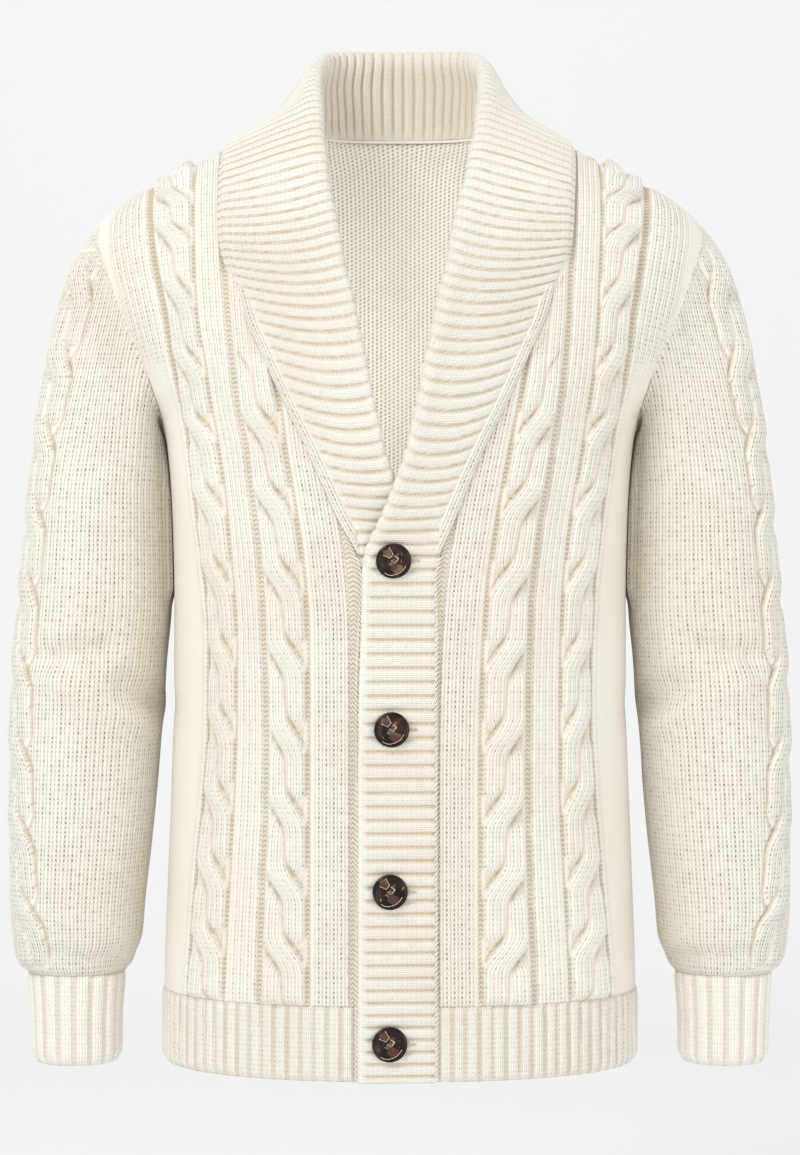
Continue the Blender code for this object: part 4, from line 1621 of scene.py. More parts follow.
PATTERN_COLUMNS = ("height", "c2", "c3", "c4", "c5", "gap5")
PATTERNS = {
    Side.RIGHT: Table(PATTERN_COLUMNS, (
        (-0.7175, 0.0670, 0.1032, 0.1302, 0.1577, 0.0025),
        (-0.6635, 0.0670, 0.1030, 0.1297, 0.1572, 0.0025),
        (-0.6437, 0.0670, 0.1027, 0.1290, 0.1561, 0.0025),
        (-0.5680, 0.0670, 0.1001, 0.1252, 0.1502, 0.0025),
        (-0.5170, 0.0670, 0.0979, 0.1224, 0.1451, 0.0025),
        (-0.4665, 0.0670, 0.0976, 0.1205, 0.1414, 0.0025),
        (-0.3960, 0.0672, 0.0995, 0.1201, 0.1408, 0.0025),
        (-0.3400, 0.0712, 0.1025, 0.1242, 0.1462, 0.0025),
        (-0.2980, 0.0772, 0.1077, 0.1280, 0.1518, 0.0027),
        (-0.2590, 0.0837, 0.1124, 0.1332, 0.1562, 0.0030),
        (-0.2318, 0.0870, 0.1180, 0.1382, 0.1602, 0.0035),
        (-0.1970, 0.0932, 0.1227, 0.1432, 0.1672, 0.0050),
        (-0.1570, 0.0977, 0.1264, 0.1496, 0.1737, 0.0068),
        (-0.1140, 0.1007, 0.1294, 0.1521, 0.1827, 0.0070),
        (-0.0750, 0.1027, 0.1317, 0.1537, 0.1872, 0.0070),
        (0.0000, 0.1047, 0.1337, 0.1557, 0.1897, 0.0070),
    )),
    Side.LEFT: Table(PATTERN_COLUMNS, (
        (-0.7175, 0.0590, 0.0985, 0.1255, 0.1560, 0.0025),
        (-0.6635, 0.0588, 0.0980, 0.1250, 0.1555, 0.0025),
        (-0.5680, 0.0585, 0.0945, 0.1205, 0.1480, 0.0025),
        (-0.5060, 0.0585, 0.0933, 0.1178, 0.1430, 0.0025),
        (-0.4410, 0.0594, 0.0938, 0.1177, 0.1402, 0.0025),
        (-0.3690, 0.0631, 0.0960, 0.1193, 0.1428, 0.0025),
        (-0.3200, 0.0695, 0.1015, 0.1240, 0.1480, 0.0026),
        (-0.2608, 0.0801, 0.1114, 0.1340, 0.1565, 0.0030),
        (-0.2214, 0.0880, 0.1175, 0.1398, 0.1635, 0.0038),
        (-0.2030, 0.0910, 0.1202, 0.1424, 0.1668, 0.0048),
        (-0.1570, 0.0965, 0.1240, 0.1460, 0.1725, 0.0066),
        (-0.1380, 0.0975, 0.1250, 0.1470, 0.1758, 0.0070),
        (-0.0750, 0.1010, 0.1290, 0.1505, 0.1850, 0.0070),
        (0.0000, 0.1030, 0.1310, 0.1525, 0.1880, 0.0070),
    )),
}

STITCHES = {
    "c1": PurlChannel(0.35, 0.22), "c2": PurlChannel(1.0, 0.10), "c3": PurlChannel(1.1, 0.10),
    "c4": PurlChannel(0.75, 0.10), "c5": PurlChannel(0.6, 0.50),
    "wide": Column(5, -0.3), "narrow": Column(4, 0.45),
}


@dataclass(frozen=True)
class FrontPanel:
    """One front: two columns and two cables between sunk channels, and a plain side."""

    side: Side
    cut: Cut = Cut((0.27, 0.75), Held.DRAPED)
    row_step: float = 0.0021
    column_wale: float = 0.0055
    side_wale: float = 0.0062
    inner_rope: Rope = Rope(
        (-0.2426, -0.2972, -0.3541, -0.4095, -0.4685, -0.5217, -0.5743, -0.6253))
    outer_rope: Rope = Rope(
        (-0.070, -0.099, -0.144, -0.1949, -0.2426, -0.2965, -0.352, -0.408, -0.4606, -0.5152,
         -0.5692, -0.620), height=0.0037)
    cable_top: float = -0.2153
    smooth_below: float = -0.225
    edge_fade: float = 0.004
    seam_fade: float = 0.005
    hollow_span: int = 5
    hollow_shade: float = 330.0
    purl_light: float = 0.62
    gap_shade: float = 0.16
    gap_calm: float = 1.7
    side_calm: float = 1.25
    plain_strands: tuple[Place, ...] = ((0.25, 0.0012, 0.0), (0.75, 0.0028, 3.0))

    def bounds(self, ruler: SectionRuler, levels: Array) -> dict[str, Array]:
        """Distances round the body of the pattern's borders, for each height.

        Args:
            ruler: Distances round the body at the rows' heights.
            levels: Heights of the rows.

        Returns:
            Distances by the border's name.
        """
        pattern = PATTERNS[self.side]

        def arc(distance: Array) -> Array:
            """Distance round the body of a distance from the middle."""
            return ruler.arc(BODY.turn_at(distance, levels))

        gaps = {"c2": 0.0029, "c3": 0.0030, "c4": 0.0020}
        found = {"edge": arc(BODY.edge(levels, self.side.value))}
        for name, half in gaps.items():
            centre = pattern.at(name, levels)
            found[name + "_in"], found[name + "_out"] = arc(centre - half), arc(centre + half)
        centre = pattern.at("c5", levels)
        half = pattern.at("gap5", levels) / 2
        found["c5_in"], found["c5_out"] = arc(centre - half), arc(centre + half)
        found["end"] = ruler.arc(BODY.armhole_turn(levels) - BODY.seam_trim)
        return found

    def lay(self, b: dict[str, Array]) -> tuple[Array, list[str], list[float]]:
        """Place of every grid column, its zone and its place across the zone.

        Args:
            b: Distances of the pattern's borders.

        Returns:
            Distances for each row and column, and a zone and a place for each column.
        """
        columns, zones, places = [], [], []
        start = b["c2_in"] - STITCHES["wide"].wales * self.column_wale
        strips = (
            ("c1", b["edge"], np.maximum(start, b["edge"]), 5),
            ("wide", start, b["c2_in"], 20),
            ("c2", b["c2_in"], b["c2_out"], 4),
            ("rope1", b["c2_out"], b["c3_in"], 30),
            ("c3", b["c3_in"], b["c3_out"], 4),
            ("narrow", b["c3_out"], b["c4_in"], 16),
            ("c4", b["c4_in"], b["c4_out"], 4),
            ("rope2", b["c4_out"], b["c5_in"], 24),
            ("c5", b["c5_in"], b["c5_out"], 4),
        )
        for zone, low, high, count in strips:
            columns += [low + (high - low) * k / count for k in range(count)]
            zones += [zone] * count
            places += [k / count for k in range(count)]
        quarters = math.ceil(float(np.max(b["end"] - b["c5_out"])) / self.side_wale) * 4 + 1
        columns += [b["c5_out"] + k / 4 * self.side_wale for k in range(quarters)]
        zones += ["side"] * quarters
        places += [k / 4 for k in range(quarters)]
        arcs = np.clip(np.stack(columns, axis=1), b["edge"][:, None], b["end"][:, None])
        return arcs, zones, places

    def cable(self, zone: str, place: float, levels: Array) -> dict[str, Array]:
        """Stitches of a cable; the inner one has two plain strands above a height.

        Args:
            zone: Zone of the pattern.
            place: Place across, from 0 to 1.
            levels: Heights of the rows.

        Returns:
            Fields of the stitches.
        """
        rope = self.inner_rope if zone == "rope1" else self.outer_rope
        lift, wale, bare = rope.relief(np.full(len(levels), place), levels)
        if zone == "rope1":
            plain = smooth((levels - self.cable_top) / 0.030)
            centre, height, first = self.plain_strands[int(place >= 0.5)]
            dome = math.sqrt(max(0.0, 1 - ((place - centre) / 0.29) ** 2))
            lift = lift * (1 - plain) + plain * height * dome
            wale = np.where(plain > 0, place * 6 - first, wale)
            bare = bare * (1 - plain)
        # Painted shade on the bare purl ground beside the strands, and in the clefts where one strand
        # rides over the other.
        shade = 0.25 * bare + 0.44 * rope.cleft(place, levels) * (bare < 0.9)
        return {"lift": lift, "wale": wale, "purl": bare, "shade": shade, "calm": 0.45}

    def plain_side(self, place: float, levels: Array) -> dict[str, Array]:
        """Stitches of the side: one wale in relief, then cloth that is smooth below the armhole.

        Args:
            place: Place in wales from the cable.
            levels: Heights of the rows.

        Returns:
            Fields of the stitches.
        """
        lower = 1 - smooth((levels - self.smooth_below) / 0.05) * smooth((7 - place) / 2)
        if place < 0.99:
            ridge = math.sin(place * math.pi) ** 0.6
            return {"wale": place, "lift": 0.0007 * ridge * lower, "calm": 0.45,
                    "shade": 0.06 * lower}
        return {"wale": place, "calm": self.side_calm - 1.1 * (1 - lower), "flat": 0.85 * lower,
                "shade": 0.06 * lower}

    def stitch(self, zone: str, place: float, levels: Array) -> dict[str, Array]:
        """Stitches of one grid column, up all its levels.

        Args:
            zone: Zone of the pattern.
            place: Place across, from 0 to 1.
            levels: Heights of the rows.

        Returns:
            Fields of the stitches.
        """
        if zone in STITCHES:
            return STITCHES[zone].stitch(place)
        if zone == "side":
            return self.plain_side(place, levels)
        return self.cable(zone, place, levels)

    def dress(self, wardrobe: Wardrobe) -> None:
        """Knit the panel.

        Args:
            wardrobe: The finishes, the relief and the creases.
        """
        levels = Levels(BODY.rib_top, 0.0, self.row_step).heights()
        ruler = SectionRuler(levels)
        b = self.bounds(ruler, levels)
        arcs, zones, places = self.lay(b)
        turns = ruler.turn(arcs)
        high = np.broadcast_to(levels[:, None], turns.shape)
        points = BODY.point(turns, high, self.side.value)
        fields = ("lift", "wale", "purl", "shade", "calm", "flat")
        lift, wale, purl, shade, calm, flat = knit = np.zeros((len(fields),) + turns.shape)
        for c, (zone, place) in enumerate(zip(zones, places)):
            for name, values in self.stitch(zone, place, levels).items():
                knit[fields.index(name), :, c] = values
        fade = smooth((arcs - b["edge"][:, None]) / self.edge_fade)
        fade = fade * smooth((b["end"][:, None] - arcs) / self.seam_fade)
        gaps = strand_gaps(wale, False)
        # Painted shade in the relief's hollows, less on purl, and along the gaps between strands.
        deep = hollows(lift, False, self.hollow_span, self.hollow_shade)
        shade = shade + deep * (1 - self.purl_light * purl) + self.gap_shade * gaps * (1 - purl)
        shell = KnitShell(
            points, BODY.normal(turns, high, self.side.value), wale, rows_up(points),
            lift=lift, purl=purl, shade=shade, amount=fade * hem_fade(high) * (1 - flat),
            calm=np.maximum(calm, self.gap_calm * gaps))
        name = self.side.label
        wardrobe.knit(shell, "front_" + name, self.cut, "knit_hem_rib_" + name)


@dataclass(frozen=True)
class BackPanel:
    """The back: plain stocking stitch, its reverse seen through the neck."""

    cut: Cut = Cut((0.52, 0.70), Held.DRAPED)
    row_step: float = 0.0030
    fine_step: float = 0.0018
    calm: float = 0.2
    seam_fade: float = 0.005
    neck_fade: float = 0.012

    def dress(self, wardrobe: Wardrobe) -> None:
        """Knit the panel.

        Args:
            wardrobe: The finishes, the relief and the creases.
        """
        levels = Levels(BODY.rib_top, 0.0, self.row_step, fine_step=self.fine_step).heights()
        ruler = SectionRuler(levels)
        centre = ruler.arcs[:, -1]
        reach = centre - ruler.arc(2 - (BODY.armhole_turn(levels) - BODY.seam_trim))
        count = math.ceil(float(np.max(reach)) / WALE * 4)
        steps = np.arange(-count, count + 1)
        away = np.minimum(np.abs(steps)[None, :] * WALE / 4, reach[:, None])
        turns = ruler.turn(centre[:, None] - away)
        high = np.broadcast_to(levels[:, None], turns.shape)
        ease = np.clip(1 + high / BODY.neck_ease, 0.0, 1.0) ** 2
        high = high - BODY.neck_drop * np.sin(math.pi / 2 * np.clip(turns - 1, 0, 1)) * ease
        points, out = both_sides(turns, high, np.where(steps < 0, 1.0, -1.0))
        out[:, steps == 0, 0] = 0.0
        wale = np.broadcast_to(steps[None, :] / 4.0, turns.shape) + 100
        fade = smooth((reach[:, None] - away) / self.seam_fade) * hem_fade(levels[:, None])
        fade = fade * smooth(-levels[:, None] / self.neck_fade)
        shell = KnitShell(points, unit(out), wale, rows_up(points),
                          calm=np.full(turns.shape, self.calm), amount=fade)
        wardrobe.knit(shell, "back", self.cut, "knit_hem_rib_back")


@dataclass(frozen=True)
class HemRib:
    """Rib along the lower edge of one front, or of the back."""

    place: str
    side: Side | None
    cut: Cut
    period: float = 0.0100
    look: RibLook = RibLook(ribbing=1.2, calm=0.6, valley=0.34, lines=0.34)
    rows: int = 22
    back_cells: int = 360
    front_cells: int = 169
    end_fade: float = 0.003
    turned_in: float = 0.0016

    def lay_back(self, ruler: SectionRuler) -> tuple[Array, Array, Array, Array]:
        """Turns, sides, ribs and fading ends of the back's rib.

        Args:
            ruler: Distances round the body at the rows' heights.

        Returns:
            Turns, 1 or -1 for each column, places in ribs, and strengths.
        """
        centre = ruler.arcs[:, -1]
        reach = centre - ruler.arc(1 + BODY.seam_trim)
        shares = np.linspace(-1, 1, self.back_cells + 1)
        away = np.abs(shares)[None, :] * reach[:, None]
        rib = shares[None, :] * reach[:, None] / self.period + 100
        ends = smooth((1 - np.abs(shares)) * reach.mean() / self.end_fade)
        return ruler.turn(centre[:, None] - away), np.where(shares < 0, 1.0, -1.0), rib, ends

    def lay_front(self, ruler: SectionRuler) -> tuple[Array, Array, Array, Array]:
        """Turns, sides, ribs and fading ends of a front's rib.

        Args:
            ruler: Distances round the body at the rows' heights.

        Returns:
            Turns, 1 or -1 for each column, places in ribs, and strengths.
        """
        side = self.side.value
        low = ruler.arc(BODY.turn_at(BODY.edge(ruler.heights, side), ruler.heights))[:, None]
        high = ruler.arc(1 - BODY.seam_trim)[:, None]
        shares = np.linspace(0, 1, self.front_cells + 1)
        arcs = low + (high - low) * shares
        ends = np.minimum(shares, 1 - shares) * 0.2 / self.end_fade
        rib = (arcs - low) / self.period + 0.66
        return ruler.turn(arcs), np.full(len(shares), float(side)), rib, smooth(ends)

    def dress(self, wardrobe: Wardrobe) -> None:
        """Knit the rib.

        Args:
            wardrobe: The finishes, the relief and the creases.
        """
        ruler = SectionRuler(np.linspace(BODY.hem, BODY.rib_top - 0.00005, self.rows))
        turns, mirror, rib, ends = self.lay_front(ruler) if self.side else self.lay_back(ruler)
        heights = np.broadcast_to(ruler.heights[:, None], turns.shape)
        points, out = both_sides(turns, heights, mirror)
        up = (heights - BODY.hem) / (BODY.rib_top - BODY.hem)
        inward = self.turned_in * (1 - smooth(up / 0.12)) ** 2
        points = points - out * inward[..., None]
        shell = KnitShell(
            points, unit(out), rib_wale(rib), rows_up(points), wall=RIB_WALL, block=3,
            amount=ends * smooth(up / 0.10 + 0.1) * smooth((1.03 - up) / 0.12),
            **self.look.fields(rib))
        wardrobe.knit(shell, "hem_rib_" + self.place, self.cut)


@dataclass(frozen=True)
class Sleeve:
    """One sleeve: a rope cable down its outer side and plain stocking stitch round it."""

    side: Side
    cut: Cut = Cut((0.400, 0.560), Held.HUNG)
    wales: int = 60
    around: int = 232
    cap_rows: int = 105
    cable_wide: float = 0.085
    plain_below: float = -0.640
    channel: float = 0.0013
    channel_depth: float = 0.0012
    channel_shade: float = 0.42
    cleft_shade: float = 0.26
    inner_shade: float = 0.10
    hollow_span: int = 4
    hollow_shade: float = 260.0
    gap_calm: float = 1.7
    strength: float = 0.9
    cable: Table = Table(
        ("height", "turn"),
        (
            (-0.6567, 0.150), (-0.620, 0.143), (-0.600, 0.132), (-0.556, 0.115), (-0.482, 0.102),
            (-0.420, 0.093), (-0.335, 0.097), (-0.263, 0.106), (-0.190, 0.108), (-0.080, 0.100),
        ),
    )
    rope: Rope = Rope((-0.132, -0.190, -0.248, -0.306, -0.3618, -0.4223, -0.4843, -0.5433,
                       -0.601), height=0.0034)

    @property
    def angles(self) -> Array:
        """Angles of the grid's columns."""
        return 2 * math.pi * np.arange(self.around) / self.around

    def grid(self) -> Array:
        """Points of the left sleeve, from the armhole seam down.

        Returns:
            Points, row by row.
        """
        shares = np.linspace(0, 1, self.cap_rows)
        cap = np.stack([ARM.cap_line(a, shares) for a in self.angles], axis=1)
        top, low = ARM.sleeve.rows[-1][0], ARM.sleeve.rows[0][0]
        levels = np.concatenate([
            np.linspace(top, self.plain_below, 170)[1:],
            np.linspace(self.plain_below, low, 16)[1:]])
        return np.concatenate([cap, ARM.tube(ARM.sleeve, self.angles[None, :], levels[:, None])])

    def around_share(self, points: Array) -> Array:
        """Place round the sleeve, so that wales run down it and are cut by the armhole.

        Args:
            points: Points of the grid.

        Returns:
            Angles from 0 to a full turn.
        """
        ring = ARM.sleeve.rows[-1]
        half, depth = (ring[1] - ring[2]) / 2, ring[3]
        cap = ARM.cap_line(0.0, np.linspace(0, 1, 60))
        heights, outside = cap[::-1, 2], cap[::-1, 0]
        z = points[..., 2]
        middle = np.interp(z, heights, outside) - half
        angle = np.arctan2(-points[..., 1] / depth, (points[..., 0] - middle) / half)
        return angle % (2 * math.pi)

    @staticmethod
    def rest(points: Array) -> Array:
        """Let the inner side of the upper arm lie against the body.

        Args:
            points: Points of the grid.

        Returns:
            The points, some of them moved in.
        """
        x, y, z = np.moveaxis(points, -1, 0)
        deep = np.where(y < 0, BODY.sizes.at("front", z), BODY.sizes.at("back", z))
        share = np.clip(np.abs(y) / deep, 0.0, 1.0) ** BODY.power
        gap = x - BODY.sizes.at("half_width", z) * (1 - share) ** (1 / BODY.power)
        reach = smooth((-0.232 - z) / 0.02) * smooth((z + 0.378) / 0.02)
        pull = np.clip(gap - 0.0009, 0.0, 0.0045) * smooth((0.0080 - gap) / 0.003) * reach
        moved = points.copy()
        moved[..., 0] -= pull
        return moved

    def own_share(self, points: Array, ring: Array) -> Array:
        """Share round the sleeve of every grid point: level on the cap, the ring's below.

        Args:
            points: The grid.
            ring: Share of the way round the cap's lowest ring at each column, and 1 at the end.

        Returns:
            Shares from 0 to 1.
        """
        angles = 2 * math.pi * np.arange(self.around + 1) / self.around
        own = np.broadcast_to(ring[:-1], points.shape[:2]).copy()
        placed = np.interp(self.around_share(points[:self.cap_rows]), angles, ring)
        blend = smooth((np.arange(self.cap_rows) - 70) / 34.0)[:, None]
        gap = (own[:self.cap_rows] - placed + 0.5) % 1.0 - 0.5
        own[:self.cap_rows] = (placed + gap * blend) % 1.0
        return own

    def dress(self, wardrobe: Wardrobe) -> None:
        """Knit the sleeve.

        Args:
            wardrobe: The finishes, the relief and the creases.
        """
        points = self.grid()
        out = tube_normals(points, self.angles)
        ring = points[self.cap_rows - 1]
        lengths = even_places(np.concatenate([ring, ring[:1]]))
        total = lengths[-1]
        own = self.own_share(points, lengths / total)
        turn = (own + 0.5) % 1.0 - 0.5
        z = points[..., 2]
        bottom = z - ARM.sleeve.rows[0][0]
        across = 0.5 - (turn - self.cable.at("turn", z)) / self.cable_wide
        low, high = self.rope.outline(z)
        beyond = np.maximum(low - across, across - high) * self.cable_wide * total
        in_cable = beyond < 0
        lift, rope_wale, bare = self.rope.relief(across, z)
        ends = smooth(bottom / 0.016) * smooth((-0.095 - z) / 0.03)
        channel = near(beyond - 0.0006, self.channel) * ends
        lift = np.where(in_cable, lift * ends, 0.0) - self.channel_depth * channel
        wale = np.where(in_cable & (ends > 0.3), self.wales // 10 + rope_wale, own * self.wales)
        from_seam = np.arange(len(points))[:, None] / 4.0
        shade = hollows(lift, True, self.hollow_span, self.hollow_shade)
        shade = shade + self.channel_shade * channel
        shade = shade + self.cleft_shade * self.rope.cleft(across, z) * ends
        shade = shade + self.inner_shade * smooth((np.abs(turn) - 0.2) / 0.2)
        shell = KnitShell(
            blouse(self.rest(points)) * self.side.mirror, out * self.side.mirror,
            wale, 2 - z / ROW, closed=True, lift=lift,
            purl=np.where(in_cable, bare * ends, 0.6 * channel),
            calm=self.gap_calm * strand_gaps(wale, True), shade=shade,
            amount=smooth(from_seam + 0.1) * smooth(bottom / 0.006) * self.strength,
            total=float(self.wales))
        name = self.side.label
        wardrobe.knit(shell, "sleeve_" + name, self.cut, "knit_front_" + name, "knit_back")


@dataclass(frozen=True)
class Cuff:
    """Rib cuff, narrower than the sleeve that blouses over it."""

    side: Side
    cut: Cut = Cut((0.185, 0.062), Held.STRETCHED, None)
    ribs: int = 18
    look: RibLook = RibLook(ribbing=1.3, calm=0.7, valley=0.22, lines=0.26)
    around: int = 200
    rows: int = 22
    ridge_share: float = 0.70
    turned_in: float = 0.0022

    def dress(self, wardrobe: Wardrobe) -> None:
        """Knit the cuff.

        Args:
            wardrobe: The finishes, the relief and the creases.
        """
        levels = np.linspace(ARM.cuff.rows[0][0], ARM.sleeve.rows[0][0] - 0.00005, self.rows)
        angles = np.linspace(0, 2 * math.pi, 801)
        lengths = even_places(ARM.tube(ARM.cuff, angles, np.full(801, levels[8])))
        shares = np.arange(self.around) / self.around
        even = np.interp(shares * lengths[-1], lengths, angles)
        points = ARM.tube(ARM.cuff, even[None, :], levels[:, None])
        out = tube_normals(points, even)
        rib = np.broadcast_to(shares * self.ribs, points.shape[:2]) + 0.2
        rib = narrow_valleys(rib, self.ridge_share)
        up = (points[..., 2] - levels[0]) / (levels[-1] - levels[0])
        inward = self.turned_in * (1 - smooth(up / 0.14)) ** 2
        points = blouse(points - out * inward[..., None])
        shell = KnitShell(
            points * self.side.mirror, out * self.side.mirror, rib_wale(rib), rows_up(points),
            wall=RIB_WALL, closed=True, total=float(self.ribs * RIB_WALES),
            amount=smooth(up / 0.12 + 0.12) * smooth((1.03 - up) / 0.14),
            **self.look.fields(rib))
        name = self.side.label
        wardrobe.knit(shell, "cuff_" + name, self.cut, "knit_sleeve_" + name)


COLLAR_TABLE = Table(
    ("outer_half", "outer_y", "outer_z", "fold_half", "fold_y", "fold_y_under", "fold_z",
     "seam_z", "seam_turn", "roll"),
    (
        (0.0350, 0.0, -0.3260, -0.0205, -0.1316, -0.1204, -0.3260, -0.3260, 0.0, 0.0002),
        (0.0405, 0.0, -0.3150, -0.0152, -0.1330, -0.1218, -0.3170, -0.3155, 0.0, 0.0003),
        (0.0535, 0.0, -0.2850, -0.0019, -0.1348, -0.1268, -0.2880, -0.2865, 0.0, 0.0006),
        (0.0678, 0.0, -0.2525, 0.0078, -0.1362, -0.1320, -0.2600, -0.2570, 0.0, 0.0010),
        (0.0790, 0.0, -0.2300, 0.0124, -0.1368, -0.1352, -0.2390, -0.2330, 0.0, 0.0014),
        (0.0912, 0.0, -0.2039, 0.0176, -0.1355, -0.1355, -0.2150, -0.2111, 0.0, 0.0018),
        (0.0997, 0.0, -0.1850, 0.0206, -0.1330, -0.1330, -0.1960, -0.1869, 0.0, 0.0020),
        (0.1090, 0.0, -0.1650, 0.0257, -0.1292, -0.1292, -0.1750, -0.1700, 0.0, 0.0022),
        (0.1160, 0.0, -0.1430, 0.0303, -0.1226, -0.1226, -0.1490, -0.1460, 0.0, 0.0024),
        (0.1245, 0.0, -0.1250, 0.0362, -0.1148, -0.1148, -0.1270, -0.1298, 0.0, 0.0026),
        (0.1290, 0.0, -0.1100, 0.0398, -0.1048, -0.1048, -0.1050, -0.1056, 0.0, 0.0028),
        (0.1310, 0.0, -0.0930, 0.0443, -0.0930, -0.0930, -0.0820, -0.0837, 0.0, 0.0030),
        (0.1318, 0.0, -0.0760, 0.0495, -0.0800, -0.0800, -0.0600, -0.0620, 0.0, 0.0032),
        (0.1325, 0.0, -0.0600, 0.0521, -0.0665, -0.0665, -0.0400, -0.0340, 0.0, 0.0034),
        (0.1330, 0.0, -0.0455, 0.0555, -0.0525, -0.0525, -0.0225, -0.0210, 0.0, 0.0036),
        (0.1325, -0.030, -0.0350, 0.0570, -0.0385, -0.0385, -0.0070, -0.0100, 0.0, 0.0036),
        (0.1308, -0.012, -0.0280, 0.0585, -0.0265, -0.0265, 0.0055, -0.0030, 0.0, 0.0036),
        (0.1290, 0.008, -0.0255, 0.0602, -0.0130, -0.0130, 0.0175, 0.0, 1.0005, 0.0036),
        (0.1275, 0.028, -0.0300, 0.0618, 0.0040, 0.0040, 0.0305, 0.0, 1.1670, 0.0036),
        (0.1270, 0.049, -0.0360, 0.0622, 0.0260, 0.0260, 0.0440, 0.0, 1.3333, 0.0036),
        (0.1180, 0.070, -0.0430, 0.0592, 0.0500, 0.0500, 0.0558, 0.0, 1.5000, 0.0036),
        (0.0970, 0.086, -0.0470, 0.0500, 0.0710, 0.0710, 0.0622, 0.0, 1.6667, 0.0036),
        (0.0600, 0.097, -0.0480, 0.0280, 0.0870, 0.0870, 0.0650, 0.0, 1.8333, 0.0036),
        (0.0000, 0.101, -0.0480, 0.0000, 0.0935, 0.0935, 0.0660, 0.0, 2.0000, 0.0036),
    ),
)
PLY_LEVELS = Table(
    ("height", "outer_over", "inner_over", "fold_over", "outer_under", "inner_under",
     "fold_under"),
    (
        (-0.7175, -0.0004, -0.0008, 0.0036, -0.0022, -0.0026, -0.0066),
        (-0.345, -0.0004, -0.0008, 0.0038, -0.0022, -0.0026, -0.0066),
        (-0.335, 0.0004, -0.0005, 0.0046, -0.0006, -0.0014, -0.0064),
        (-0.326, 0.0010, -0.0003, 0.0052, 0.0010, -0.0006, -0.0060),
        (-0.315, 0.0014, -0.0003, 0.0060, 0.0014, -0.0003, -0.0050),
        (0.000, 0.0014, -0.0003, 0.0060, 0.0014, -0.0003, -0.0050),
    ),
)


